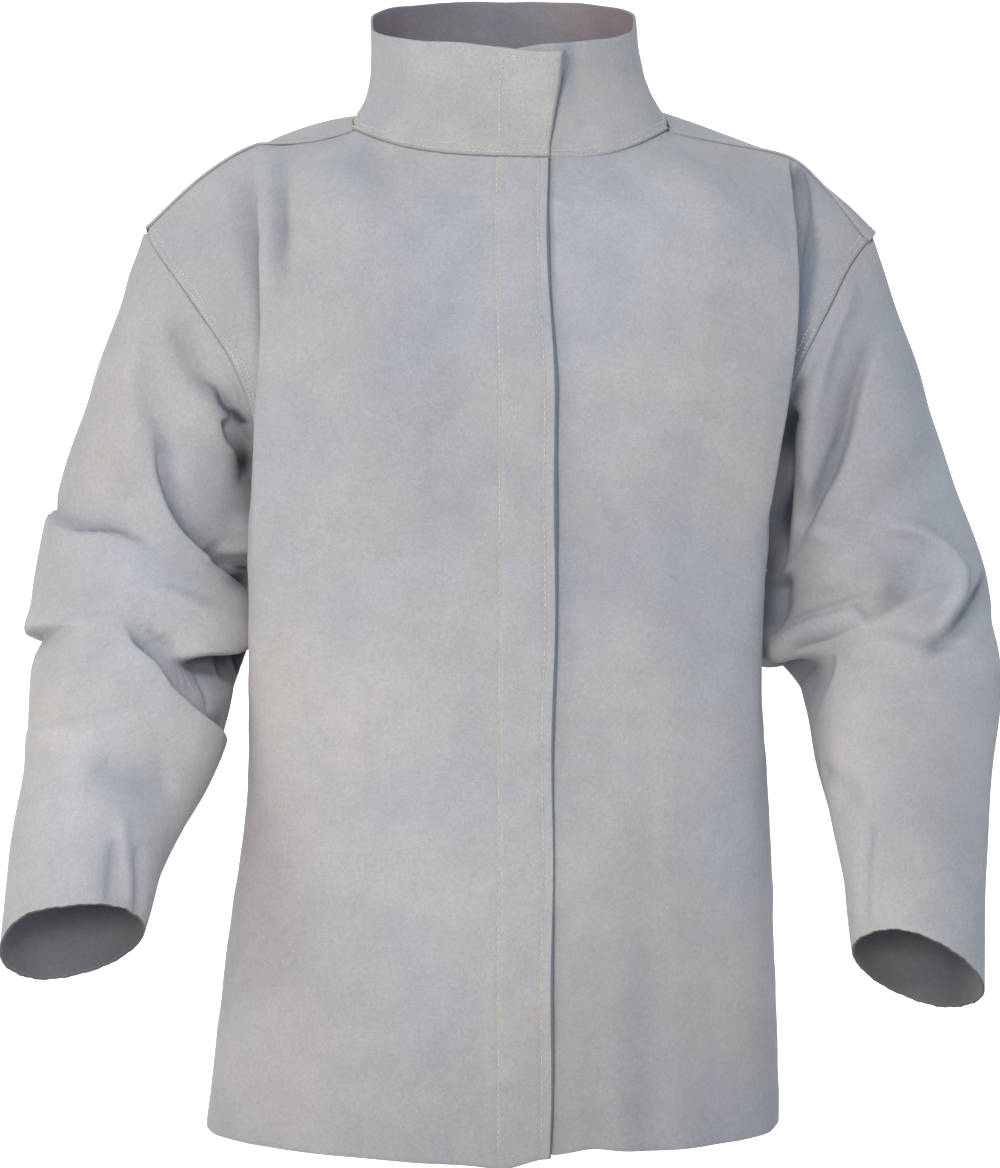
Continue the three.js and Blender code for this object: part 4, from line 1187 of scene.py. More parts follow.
@dataclass
class Trunk:
    """The surfaces that the panels, the collar and the sleeve heads share.

    neck_y and neck_z are the neck ring's places at the throat, at the sides and at the nape. underarm is the
    level at which the armhole starts, counted up from the hem.
    """

    neck_x: float = 5.0
    neck_half_width: float = 112.0
    neck_y: Triple = (-85.0, -20.0, 72.0)
    neck_z: Triple = (-23.5, -3.5, 22.0)
    neck_tilt: float = 0.14
    neck_square: float = 3.2
    neck_rise: float = 0.6
    neck_turn: float = 0.45
    underarm: int = 4
    seam_zone: float = 0.83
    armhole_start: float = 0.03
    back_shoulder: float = 0.25
    between_blades: float = 0.55
    between_bulge: float = 0.16

    @property
    def underarm_t(self) -> float:
        """The height of the underarm on a panel, from 0 at the hem to 1 at the top."""
        return self.underarm / LEVEL_COUNT

    def beside_armhole(self, t: Array) -> Array:
        """1 for the rows of a panel beside the armhole and 0 for those below it, as a column."""
        return smooth(t, self.underarm_t, self.underarm_t + self.armhole_start)[:, None]

    def turn_at(self, x: float) -> float:
        """The turn round the front of the neck at which its ring has that x."""
        return float(np.arcsin((x - self.neck_x) / self.neck_half_width))

    def neck(self, turn: Array) -> Array:
        """Points on the neck's ring.

        Args:
            turn: radians from the throat towards the wearer's left.

        Returns:
            The points.
        """
        turn = np.asarray(turn, float)
        ahead = np.cos(turn)
        front, side, rear = self.neck_y
        low, mid, high = self.neck_z
        depth = np.where(ahead > 0, side - front, rear - side)
        drop = np.where(ahead > 0, (low - mid) * (1 + self.neck_tilt * np.sin(turn)), high - mid)
        x = self.neck_x + self.neck_half_width * np.sin(turn)
        in_front = 1 - np.abs(np.sin(turn)) ** self.neck_square
        level = np.where(ahead > 0, in_front, np.abs(ahead) ** self.neck_rise)
        return np.stack([x, side - depth * ahead, mid + drop * level], axis=-1)

    def shoulder(self, side: Side, t: Array) -> Array:
        """Points on a shoulder seam.

        Args:
            side: the wearer's side.
            t: places along it, from 0 at the neck to 1 at the tip.

        Returns:
            The points.
        """
        first = self.neck(np.array([side.value * math.pi / 2]))
        seam = through(np.concatenate([first, np.array(SHOULDERS[side], float)]), t)
        hang = np.sin(math.pi * np.clip(len(SHOULDERS[side]) * np.asarray(t, float), 0, 1))
        seam[:, 2] -= SEAM_SAG[side] * hang
        seam[:, 1] -= SEAM_SAG[side] * hang
        return seam

    def up(self, points: Array, t: Array, cornered: Array) -> Array:
        """Points on the lines up a panel, which break at the underarm near the side.

        Args:
            points: the panel's levels along the first axis, its columns along the second.
            t: heights from 0 to 1.
            cornered: how far each column breaks, from 0 to 1.

        Returns:
            Points by height and column.
        """
        t = np.asarray(t, float)
        at = self.underarm / (len(points) - 1)
        below = through(points[: self.underarm + 1], t / at)
        above = through(points[self.underarm :], (t - at) / (1 - at))
        part = np.where((t <= at)[:, None, None], below, above)
        return mix(through(points, t), part, cornered[None, :, None])

    def front(self, side: Side, edge_x: float, hem_rise: float, s: Array, t: Array) -> Array:
        """Points on a front panel.

        Args:
            side: the wearer's side.
            edge_x: the panel's closing edge.
            hem_rise: how far its hem ends above the common one.
            s: places across it, from its closing edge to its side.
            t: heights on it, from its hem to its top.

        Returns:
            Points by height and place.
        """
        edge = SIDES[side]
        y, z, mid = LEVELS["y_front"], LEVELS["z_front"].copy(), LEVELS["z_mid"].copy()
        z[0] += hem_rise
        mid[0] += hem_rise
        across, depth, fall = edge["x_fold"], edge["y_fold"] - y, edge["z_fold"] - mid
        nothing = np.zeros_like(y)
        marks = [
            (nothing + edge_x, y + 0.5, z),
            (nothing, y, z),
            (0.38 * across, y + 0.07 * depth, mix(z, mid, 0.4)),
            (0.7 * across, y + 0.34 * depth, mid + 0.1 * fall),
            (across, edge["y_fold"], edge["z_fold"]),
            (edge["x_dip"], edge["y_dip"], mix(edge["z_fold"], edge["z_edge"], 0.5)),
            (edge["x_edge"], edge["y_edge"], edge["z_edge"]),
        ]
        rows = through(np.stack([np.stack(mark, axis=-1) for mark in marks]), s).swapaxes(0, 1)
        mark = np.asarray(s, float) * FRONT_SPANS
        quarter = side.value * math.pi / 2
        turns = [self.turn_at(edge_x), self.turn_at(0.0), self.neck_turn * quarter, quarter]
        ring = self.neck(np.interp(mark, range(NECK_LINE + 1), turns))
        seam = self.shoulder(side, np.clip((mark - NECK_LINE) / (FRONT_SPANS - NECK_LINE), 0, 1))
        top = np.where((mark <= NECK_LINE)[:, None], ring, seam)
        return self.up(np.concatenate([rows, top[None]]), t, smooth(np.asarray(s), self.seam_zone, 1.0))

    def chest(self, side: Side, s: Array, t: Array) -> Array:
        """Points on a front panel whose hem is the common one."""
        return self.front(side, FRONT_EDGES[side], 0.0, s, t)

    def back(self, s: Array, t: Array) -> Array:
        """Points on the back panel.

        Args:
            s: places across it, from the right side seam to the left one.
            t: heights on it, from its hem to its top.

        Returns:
            Points by height and place.
        """
        nape = np.stack([np.zeros_like(LEVELS["y_back"]), LEVELS["y_back"], LEVELS["z_back"]], axis=-1)
        halves = {}
        for side, edge in SIDES.items():
            blade = spots(LEVELS, "blade", side.value)
            blade[-1, 2] -= BLADE_DROP[side]
            between = mix(nape, blade, self.between_blades)
            between[:, 1] += self.between_bulge * (LEVELS["y_back"] - LEVELS["y_blade"])
            halves[side] = [spots(edge, "back"), spots(LEVELS, "corner", side.value), blade, between]
        marks = np.stack([*halves[Side.RIGHT], nape, *halves[Side.LEFT][::-1]])
        rows = through(marks, s).swapaxes(0, 1)
        s = np.asarray(s, float)
        to_tip = np.clip(1 - np.minimum(s, 1 - s) / self.back_shoulder, 0, 1)
        right, left = (self.shoulder(side, to_tip) for side in (Side.RIGHT, Side.LEFT))
        seams = np.where((s < 0.5)[:, None], right, left)
        share = (s - self.back_shoulder) / (1 - 2 * self.back_shoulder)
        ring = self.neck(-math.pi / 2 - share * math.pi)
        on_neck = (share >= 0) & (share <= 1)
        top = np.where(on_neck[:, None], ring, seams)
        return self.up(np.concatenate([rows, top[None]]), t, smooth(np.abs(2 * s - 1), self.seam_zone, 1.0))


TRUNK = Trunk()


@dataclass(frozen=True)
class Swell:
    """A soft rise of the leather beside a front's side fold, around a height on the jacket."""

    rise: float
    past: float
    reach: float
    z: float
    span: float

    def at(self, off: Array, z: Array) -> Array:
        """Its height at distances past the fold and heights on the jacket."""
        return self.rise * bump(off - self.past, self.reach) * bump(z - self.z, self.span)


# Along the right front's side fold: its ridge, the valley in front of it and the hollow behind it
SIDE_SWELLS = (
    Swell(3.2, 0.0, 5.0, -90.0, 50.0),
    Swell(-6.5, -17.0, 8.0, -70.0, 40.0),
    Swell(-3.0, 12.0, 10.0, -95.0, 50.0),
)
# Rise, x and reach of the upright waves at the hem
HEM_WAVES = {
    Side.RIGHT: ((1.5, -60.0, 25.0),),
    Side.LEFT: ((-3.5, 102.0, 13.0), (2.5, 130.0, 16.0), (-3.0, 66.0, 14.0)),
}


def side_sewing(high: Array, from_side: Array, groove: Groove) -> Array:
    """The relief along a panel's side: the sewn band of the armhole, and the side seam below it.

    Args:
        high: 1 beside the armhole and 0 below it.
        from_side: distance from the panel's side.
        groove: the dent of a sewn row.

    Returns:
        The height of the relief.
    """
    near, far = ARMHOLE_ROWS
    band = 0.25 * smooth(from_side, far + 1.5, far - 1.0)
    sewn = band + groove.at(from_side - near) + groove.at(from_side - far)
    return high * sewn - (1 - high) * 0.9 * bump(from_side, 2.5)


@dataclass
class FrontPanel:
    """One front of the jacket, with its fly edge, side fold and armhole edge.

    shape() notes the panel's grid: places across it (s) and up it (t), each point's distance from its closing
    edge, its side and its top, and x and z before the leather drapes.
    """

    side: Side
    edge_x: float
    hem_rise: float
    name: str
    node: str
    rows: int = 205
    columns: int = 118
    fly_rows: Pair = (6.7, 37.5)
    hem_row: float = 8.0
    armhole_end: float = 0.995
    groove: Groove = field(default_factory=Groove)
    s: Array = field(init=False)
    t: Array = field(init=False)
    from_edge: Array = field(init=False)
    from_side: Array = field(init=False)
    from_top: Array = field(init=False)
    x: Array = field(init=False)
    z: Array = field(init=False)

    def surface(self, s: Array, t: Array) -> Array:
        """Points on the panel before it drapes."""
        return TRUNK.front(self.side, self.edge_x, self.hem_rise, s, t)

    def shape(self) -> Cloth:
        """Shapes the panel's outside, with its folds, edges and sewn dents.

        Returns:
            The panel.
        """
        fine = np.linspace(0, 1, 400)
        self.t = even(self.surface(np.array([0.45]), fine)[:, 0], self.rows)
        across = self.surface(fine, np.array([0.7]))[0]
        run = run_along(across)
        fold = run[int(len(fine) * FOLD_LINE / FRONT_SPANS) - 1]
        focus = [(run[-1], 12.0, 1.4), (0.0, 8.0, 1.4), (fold + 4.0, 12.0, 1.8)]
        if self.side is Side.RIGHT:
            focus.append((self.fly_rows[1], 3.0, 2.5))
        self.s = even(across, self.columns, *focus)
        cloth = Cloth(self.surface(self.s, self.t), self.side.value)
        rise = cloth.run_down()
        self.from_edge = cloth.run_across()
        self.from_side = self.from_edge[:, -1:] - self.from_edge
        self.from_top = rise[-1:] - rise
        self.x, self.z = cloth.points[..., 0], cloth.points[..., 2]
        # Painted shade in the folds and beside the arm, painted highlight on the fold's ridges
        cloth.soil = self.shaded()
        cloth.lift(self.drape() + self.sewing())
        if self.side is Side.RIGHT:
            self.waver(cloth)
        else:
            self.tuck_under(cloth)
        self.trim(cloth)
        return cloth

    def drape(self) -> Array:
        """How far the leather stands out or in as it hangs.

        Returns:
            The height of the relief.
        """
        wide = 0.9 * waves(self.from_edge, self.z * 0.45, 95.0, 11 + self.side.value)
        small = 0.28 * waves(self.from_edge, self.z, 34.0, 23)
        calm = smooth(self.from_top, 0.0, 40.0)
        return calm * (wide + small) + self.flutes() + self.side_fold()

    def flutes(self) -> Array:
        """Soft upright waves that run up from the hem.

        Returns:
            The height of the relief.
        """
        up = np.exp(-(self.z - HEM_Z) / 130.0)
        height = sum(rise * bump(self.x - x, reach) for rise, x, reach in HEM_WAVES[self.side])
        if self.side is Side.RIGHT:
            height = height + 1.2 * np.sin(self.x / 26.0 + 0.6)
        return up * height

    def side_fold(self) -> Array:
        """The crisp fold where the chest turns back towards the arm.

        Returns:
            The height of the relief.
        """
        off, z = self.past_fold(), self.z
        past = 0.5 + 0.5 * np.tanh((off - 0.8) / 0.9)
        if self.side is Side.RIGHT:
            step = -8.0 * past * np.exp(-np.maximum(off, 0) / 11.0) * bump(z + 185.0, 72.0)
            return sum(swell.at(off, z) for swell in SIDE_SWELLS) + step
        wide = 4.0 + 10.0 * smooth(self.from_top, 2.0, 48.0)
        floor = past * (1 - smooth(off / wide, 0.75, 1.5))
        held = smooth(self.from_top, 2.0, 14.0) * smooth(z, -300.0, -230.0)
        return held * (-8.5 * floor + 2.2 * bump(off - wide - 6.0, 5.0) + 0.8 * bump(off + 3.0, 4.0))

    def shaded(self) -> Array:
        """The painted shade in the folds and beside the arm, and painted highlight on the fold's ridges.

        Returns:
            The painted shade, as in Cloth.
        """
        off, z = self.past_fold(), self.z
        past = smooth(off, 0.0, 2.5)
        in_folds = -self.side_fold() / 13.0
        if self.side is Side.RIGHT:
            beside = 0.6 * past * (1 - smooth(off, 24.0, 42.0)) * bump(z + 138.0, 72.0)
            return in_folds * 1.3 + beside
        wide = 8.0 + 29.0 * smooth(self.from_top, 4.0, 60.0)
        strip = 0.72 * past * (1 - smooth(off, wide, wide + 9.0)) * smooth(self.from_top, 2.0, 12.0)
        band = 0.55 * smooth(-z, 148.0, 182.0) * smooth(off, 6.0, 20.0)
        return np.maximum(in_folds, np.maximum(strip, band) * smooth(z, -290.0, -235.0))

    def past_fold(self) -> Array:
        """Distance past the fold where the chest turns back.

        Returns:
            The distance of each point, below 0 in front of the fold.
        """
        column = np.arange(len(self.s))
        fold_at = np.interp(FOLD_LINE / FRONT_SPANS, self.s, column)
        fold_run = np.array([np.interp(fold_at, column, row) for row in self.from_edge])[:, None]
        return self.from_edge - fold_run

    def sewing(self) -> Array:
        """The dents of the sewn rows at the armhole, the shoulder and the fly.

        Returns:
            The height of the relief.
        """
        height = side_sewing(TRUNK.beside_armhole(self.t), self.from_side, self.groove)
        shoulder = self.s >= NECK_LINE / FRONT_SPANS
        height = height - 1.5 * bump(self.from_top, 2.4) * shoulder[None, :]
        if self.side is Side.RIGHT:
            inside_rows = 0.35
            for distance, sign in zip(self.fly_rows, (1.0, -1.0)):
                height = height + self.groove.at(self.from_edge - distance)
                height = height + sign * inside_rows * smooth(self.from_edge, distance - 1.0, distance + 1.0)
        return height

    def waver(self, cloth: Cloth) -> None:
        """Lets the free edge of the fly waver and stand off a little.

        Args:
            cloth: the panel.
        """
        z = cloth.points[..., 2]
        near = np.exp(-self.from_edge / 55.0)
        drift = 0.9 * np.sin(z / 61.0) + 0.7 * np.sin(z / 27.0 + 2.0) - 3.2 * smooth(-z, 480.0, -HEM_Z)
        drift = drift - 3.6 * smooth(z, -190.0, -60.0)
        cloth.points[..., 0] += near * drift
        curl = 0.5 + 0.4 * np.sin(z / 48.0 + 1.0) + 1.2 * bump(z + 275.0, 50.0)
        cloth.lift(curl * np.exp(-self.from_edge / 5.5))
        cloth.points[..., 2] += 5.0 * smooth(-z, 690.0, -HEM_Z) * (1 - smooth(self.from_edge, 5.0, 40.0))

    def tuck_under(self, cloth: Cloth) -> None:
        """Sinks the left front under the right one, most where the closing strip lies between them.

        Args:
            cloth: the panel.
        """
        near = UNDER_SINK * (1 - smooth(self.x, FLY_EDGE_X, FLY_BLEND_X))
        strip = (FLY_SINK - UNDER_SINK) * (1 - smooth(self.x, STRIP_EDGES_X[1], FLY_EDGE_X + 2.0))
        cloth.lift(-near - strip)

    def trim(self, cloth: Cloth) -> None:
        """Trims the hem and the corner at the shoulder tip to their cut lines.

        Args:
            cloth: the panel.
        """
        x, z = cloth.points[..., 0], cloth.points[..., 2]
        at_hem = smooth(-z, 660.0, 730.0)
        if self.side is Side.LEFT:
            cloth.points[..., 2] += at_hem * 3.4 * bump(x - 64.0, 20.0)
            return
        cloth.points[..., 2] += at_hem * (3.2 * bump(x + 128.0, 58.0) - 2.6 * bump(x - 4.0, 20.0))
        corner = np.clip(1 - np.hypot(self.from_side, self.from_top) / 16.0, 0, 1)
        across = unit(np.gradient(cloth.points, axis=1))
        cloth.points = cloth.points - across * (6.0 * corner**2)[..., None]

    def build(self, finishes: Finishes) -> None:
        """Makes the panel and its stitches.

        Args:
            finishes: the jacket's materials.
        """
        cloth = self.shape()
        materials = [finishes.outside, finishes.inside, finishes.collar_cut, finishes.fly_cut]
        piece = cloth.shell(self.name, WALL, materials, self.slant(cloth))
        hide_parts(self.node)
        beside = (self.t > TRUNK.underarm_t + ARMHOLE_START) & (self.t < self.armhole_end)
        lines = [cloth.line(-self.from_side, -distance, True, beside) for distance in ARMHOLE_ROWS]
        sewing = [ARMHOLE_STITCH.build(f"{self.name}_armhole_stitches", lines, finishes.pale_thread)]
        if self.side is Side.RIGHT:
            sewing.append(self.sew_fly(cloth, finishes.yellow_thread))

    def slant(self, cloth: Cloth) -> Array:
        """How far the fly's cut edge slants out, which shows it from the front.

        Args:
            cloth: the panel.

        Returns:
            The move of each point of the inside.
        """
        move = np.zeros_like(cloth.points)
        if self.side is Side.RIGHT:
            z = cloth.points[:, 0, 2]
            swell = 1.5 * bump(z + 275.0, 48.0) + 1.0 * bump(z + 85.0, 30.0) + 0.9 * bump(z + 185.0, 30.0)
            move[:, 0, 0] = 1.5 + swell + 0.5 * np.sin(z / 37.0)
        return move

    def sew_fly(self, cloth: Cloth, thread: Material) -> Piece:
        """Sews the two rows beside the fly's edge and the short row at the hem.

        Args:
            cloth: the panel.
            thread: the thread's material.

        Returns:
            The stitches.
        """
        first, second = self.fly_rows
        upright = (self.t > 0.012) & (self.from_top[:, 6] > 2.5)
        between = (self.from_edge[0] > first) & (self.from_edge[0] < second)
        lines = [cloth.line(self.from_edge, distance, True, upright) for distance in self.fly_rows]
        lines.append(cloth.line(cloth.run_down(), self.hem_row, False, between))
        return StitchRow().build("fly_stitches", lines, thread)


@dataclass
class BackPanel:
    """The back of the jacket, which laps over the fronts along the shoulders.

    panel() notes the back's grid: places across it (s) and up it (t), how far each column is from the neck to
    the shoulder's tip, and each point's distance from the right side, from the nearer side and from the top.
    lap_rows are the rows of the lap: their share of the way to its edge, and their lift.
    """

    name: str = "back_leather"
    node: str = "back"
    rows: int = 190
    columns: int = 200
    lap: float = 1.4
    lap_rows: tuple[Pair, ...] = ((0.45, 0.1), (1.0, -0.2))
    flap: float = 9.0
    crown: float = -1.0
    armhole_end: float = 0.985
    groove: Groove = field(default_factory=Groove)
    s: Array = field(init=False)
    t: Array = field(init=False)
    to_tip: Array = field(init=False)
    run: Array = field(init=False)
    from_side: Array = field(init=False)
    from_top: Array = field(init=False)

    def panel(self) -> Cloth:
        """Lays out the smooth back and notes its grid.

        Returns:
            The smooth back.
        """
        along = TRUNK.back(np.array([0.4]), np.linspace(0, 1, 400))[:, 0]
        across = TRUNK.back(np.linspace(0, 1, 600), np.array([0.7]))[0]
        self.t = even(along, self.rows, (860.0, 14.0, 1.5))
        self.s = even(across, self.columns, (0.0, 12.0, 1.6), (run_along(across)[-1], 12.0, 1.6))
        self.to_tip = np.clip(1 - np.minimum(self.s, 1 - self.s) / TRUNK.back_shoulder, 0, 1)
        cloth = Cloth(TRUNK.back(self.s, self.t), -1)
        rise = cloth.run_down()
        self.run = cloth.run_across()
        self.from_side = np.minimum(self.run, self.run[:, -1:] - self.run)
        self.from_top = rise[-1:] - rise
        return cloth

    def shape(self) -> Cloth:
        """Shapes the back's outside, with its drape, sewn dents and laps over the fronts.

        Returns:
            The back, whose last two rows are the laps.
        """
        cloth = self.panel()
        proud = self.proud()
        relief = self.drape(cloth.points[..., 2]) + proud * (1 - smooth(self.from_top, 1.0, 12.0))
        relief += side_sewing(TRUNK.beside_armhole(self.t), self.from_side, self.groove)
        towards, over, weight = self.shoulders(cloth)
        corner = np.clip(1 - np.hypot(self.run, self.from_top) / 16.0, 0, 1)
        cloth.points = cloth.points + unit(np.gradient(cloth.points, axis=1)) * (4.0 * corner**2)[..., None]
        held = smooth(self.to_tip, 0.0, 0.15) * (1 - smooth(self.to_tip, 0.7, 0.95)) * (self.s < 0.5)
        cloth.lift(self.crown * bump(self.from_top - 28.0, 22.0) * held)
        cloth.lift(relief)
        rows = [cloth.points]
        seam = TRUNK.back(self.s, np.array([1.0]))[0]
        shift = cloth.points[-1] - cloth.normals()[-1] * proud[:, None] - seam
        for share, lift in self.lap_rows:
            raised = over * (proud + weight * lift)[:, None]
            rows.append((seam + shift * corner[-1][:, None] + towards * share + raised)[None])
        return Cloth(np.concatenate(rows), -1)

    def drape(self, z: Array) -> Array:
        """How far the leather stands out or in as it hangs.

        Args:
            z: the points' height.

        Returns:
            The height of the relief.
        """
        calm = smooth(self.from_top, 0.0, 60.0) * smooth(self.from_side, 0.0, 50.0)
        hanging = 1.2 * waves(self.run, z * 0.35, 130.0, 41) + 0.3 * waves(self.run, z, 36.0, 42)
        hem = np.exp(-(z + 728.0) / 60.0) * 2.5 * np.sin(self.run / 31.0)
        return calm * hanging + hem

    def proud(self) -> Array:
        """How far the lap stands above the fronts, most at the left shoulder's tip.

        Returns:
            The height by column.
        """
        flap = np.where(self.s >= 0.5, smooth(self.to_tip, 0.6, 0.85), 0.0)
        return smooth(self.to_tip, 0.0, 0.08) * mix(0.6, WALL + 0.3, flap)

    def shoulders(self, cloth: Cloth) -> tuple[Array, Array, Array]:
        """How the back laps over the fronts along the shoulders.

        Args:
            cloth: the back.

        Returns:
            The way from the seam to the lap's edge, the fronts' normals, and 1 on the shoulders and 0 on the
            neck.
        """
        weight = smooth(self.to_tip, 0.0, 0.08)
        towards = unit(cloth.points[-1] - cloth.points[-2]) * 0.6
        over = cloth.normals()[-1]
        for side in Side:
            here = (self.s < 0.5) if side is Side.RIGHT else (self.s >= 0.5)
            to_tip = self.to_tip[here]
            across = 0.5 + 0.5 * to_tip
            order = np.argsort(across)
            grid = TRUNK.chest(side, across[order], np.array([0.975, 0.985, 1.0]))
            normal = Cloth(grid, side.value).normals()[1]
            down = unit(grid[1] - grid[2])
            back_again = np.argsort(order)
            flap = self.flap if side is Side.LEFT else 0.0
            wide = self.lap + flap * smooth(to_tip, 0.6, 1.0)
            share = weight[here][:, None]
            towards[here] = mix(towards[here], down[back_again] * wide[:, None], share)
            over[here] = unit(mix(over[here], normal[back_again], share))
        return towards, over, weight

    def sew(self, cloth: Cloth, thread: Material) -> Piece:
        """Sews the two rows beside each armhole.

        Args:
            cloth: the back.
            thread: the thread's material.

        Returns:
            The stitches.
        """
        beside = (self.t > TRUNK.underarm_t + ARMHOLE_START) & (self.t < self.armhole_end)
        kept = np.concatenate([beside, [False, False]])
        run = cloth.run_across()
        lines = []
        for distance in ARMHOLE_ROWS:
            lines.append(cloth.line(run, distance, True, kept))
            lines.append(cloth.line(run - run[:, -1:], -distance, True, kept))
        return ARMHOLE_STITCH.build("back_armhole_stitches", lines, thread)

    def build(self, finishes: Finishes) -> None:
        """Makes the back and its stitches.

        Args:
            finishes: the jacket's materials.
        """
        cloth = self.shape()
        piece = cloth.shell(self.name, WALL, [finishes.outside, finishes.inside, finishes.cut])
        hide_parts(self.node)
        sewing = self.sew(cloth, finishes.pale_thread)


@dataclass
class Sleeve:
    """A sleeve with its folds, from under the armhole edge to the open cuff.

    cuff_lift is where the cuff's edge rises: its middle and reach in degrees round the arm, and its height.
    front is where columns lie closer together: its middle, its reach and their extra density. cuff_zone and
    ragged_zone are sections down from the armhole.
    """

    side: Side
    name: str
    node: str
    cuff_lift: Triple
    round_steps: int = 208
    down_steps: int = 226
    front: Triple = (95.0, 80.0, 0.9)
    clear_tip: float = 2.0
    clear_pit: float = 12.0
    ring_steps: tuple[int, ...] = (3, 2, 2, 3, 2)
    body_side: Pair = (124.0, 152.0)
    cuff_zone: Pair = (7.3, 8.0)
    ragged_zone: Pair = (7.85, 8.0)
    # How deep a hollow gets the full painted shade, and how high a crest gets the full painted highlight
    shade_depth: float = 17.0
    highlight_height: float = 12.0
    turns: Array = field(init=False)

    def __post_init__(self) -> None:
        """Places the columns round the arm, closer together in front."""
        fine = np.linspace(-90.0, 270.0, 1441)
        middle, reach, extra = self.front
        run = np.cumsum(1 + extra * bump(fine - middle, reach))
        share = np.linspace(run[0], run[-1], self.round_steps + 1)[:-1]
        self.turns = np.interp(share, run, fine)

    def ring(self) -> tuple[Array, Array, Array]:
        """The sleeve head below the armhole edge.

        Returns:
            Points under the edge, points tucked further in and points clear of it.
        """
        start = TRUNK.underarm
        marks = [start / LEVEL_COUNT]
        for k, count in enumerate(self.ring_steps):
            marks += [(start + k + (n + 1) / count) / LEVEL_COUNT for n in range(count)]
        around = self.turns % 360.0
        ahead = around <= 180.0
        climb = np.where(ahead, 1 - around / 180.0, around / 180.0 - 1) * (len(marks) - 1)
        rows = np.interp(climb, np.arange(len(marks)), marks)
        surfaces = (
            (partial(TRUNK.chest, self.side), 1.0, self.side.value),
            (TRUNK.back, 0.0 if self.side is Side.RIGHT else 1.0, -1),
        )
        edges, normals = [], []
        step = 0.004
        for surface, s, hand in surfaces:
            pair = surface(np.array(sorted((s, abs(s - step)))), rows)
            here = np.array([s])
            rise = surface(here, np.minimum(rows + step, 1.0)) - surface(here, np.maximum(rows - step, 0.0))
            edges.append(surface(here, rows)[:, 0])
            normals.append(unit(np.cross(pair[:, 1] - pair[:, 0], rise[:, 0])) * hand)
        normal = unit(self.even_out(np.where(ahead[:, None], *normals), 5.0))
        edge = self.even_out(np.where(ahead[:, None], *edges), 1.5) - normal * (WALL + SLEEVE_GAP)
        along = np.roll(edge, -1, axis=0) - np.roll(edge, 1, axis=0)
        out = unit(np.cross(along, normal)) * -self.side.value
        low = 0.5 - 0.5 * np.cos(np.radians(around))
        clear = edge + out * mix(self.clear_tip, self.clear_pit, low**2)[:, None] + normal * 1.3
        return edge, edge - out * SLEEVE_TUCK, clear

    def even_out(self, values: Array, reach: float) -> Array:
        """Smooths values round the armhole.

        Args:
            values: one row per place round it.
            reach: how many places are averaged.

        Returns:
            The smoothed values.
        """
        span = int(3 * reach)
        weights = bump(np.arange(-span, span + 1), reach)
        shifted = [np.roll(values, k, axis=0) * w for k, w in zip(range(-span, span + 1), weights)]
        return sum(shifted) / weights.sum()

    def sections(self, pit: Array) -> Array:
        """The sleeve's loops at its sections.

        Args:
            pit: the middle of the armhole.

        Returns:
            Points by section and column.
        """
        size = SLEEVES[self.side]
        centres = np.stack([size["x"], size["y"], size["z"]], axis=-1)
        path = np.concatenate([pit[None], centres])
        count = len(centres)
        c = np.cos(np.radians(self.turns))[:, None]
        s = np.sin(np.radians(self.turns))[:, None]
        loops = []
        for i in range(count):
            share = (i + 1) / count
            nearby = through(path, np.array([share - 1e-4, share + 1e-4]))
            down = unit(nearby[1] - nearby[0])
            ahead = unit(np.array([0.0, -1.0, 0.0]) + down * down[1])
            outer = np.cross(ahead, down) * self.side.value
            loops.append(
                centres[i]
                + outer * size["across"][i] * c
                + ahead * size["deep"][i] * s
                + down * (size["slant"][i] * c - size["lean"][i] * s)
            )
        return np.stack(loops)

    def line_of(self, fold: Fold, strands: Array) -> Array:
        """A fold's line on the smooth sleeve.

        Args:
            fold: the fold.
            strands: the smooth sleeve's points by section and column.

        Returns:
            The line's points.
        """
        marks = []
        for at, turn in fold.line:
            loop = through(strands, np.array([at / (len(strands) - 1)]))[0]
            marks.append([np.interp(turn, self.turns, axis, period=360.0) for axis in loop.T])
        return through(np.array(marks), np.linspace(0, 1, 25))

    def folded(self, cloth: Cloth, strands: Array) -> tuple[Array, Array, Array]:
        """How the folds move the leather.

        Args:
            cloth: the smooth sleeve.
            strands: its points by section and column.

        Returns:
            The move of each point, how far the folds carry it out for painted shade and highlight, and how
            dark the painted shade lines make it.
        """
        normals = cloth.normals()
        out = np.zeros(cloth.points.shape[:2])
        dark = np.zeros_like(out)
        tone = np.zeros_like(out)
        slide = np.zeros_like(cloth.points)
        beside = smooth(self.turns, *self.body_side)[None, :]
        for fold in FOLDS[self.side]:
            line = self.line_of(fold, strands)
            gap, share, aside = distance_to(line, cloth.points, normals, -self.side.value)
            strength = smooth(share, 0.0, fold.lead) * smooth(1 - share, 0.0, fold.tail)
            reach = np.where(gap < 0, fold.before, fold.after)
            if fold.shape is FoldShape.LIP:
                high = 0.5 - 0.5 * np.tanh(gap / fold.crisp)
                low = (1 - high) * mix(1.0, fold.kept, beside)
                height = strength * (fold.rise * high - fold.sink * low) * bump(gap, reach)
                push = strength * fold.over * high * bump(gap, fold.before * 0.6)
                slide += push[..., None] * aside
            # Lines of painted shade darken the leather without moving it
            elif fold.shape is FoldShape.SOIL:
                dark = np.maximum(dark, strength * fold.rise * bump(gap, reach))
                continue
            elif fold.shape is FoldShape.CREASE:
                height = -strength * fold.rise * np.exp(-np.abs(gap) / reach)
            else:
                sign = 1.0 if fold.shape is FoldShape.RIDGE else -1.0
                height = sign * strength * fold.rise * bump(gap, reach)
            out += height
            # The fold's depth also paints shade in its hollow and highlight on its crest
            tone += height * fold.tinting
        return normals * out[..., None] + slide, tone, dark

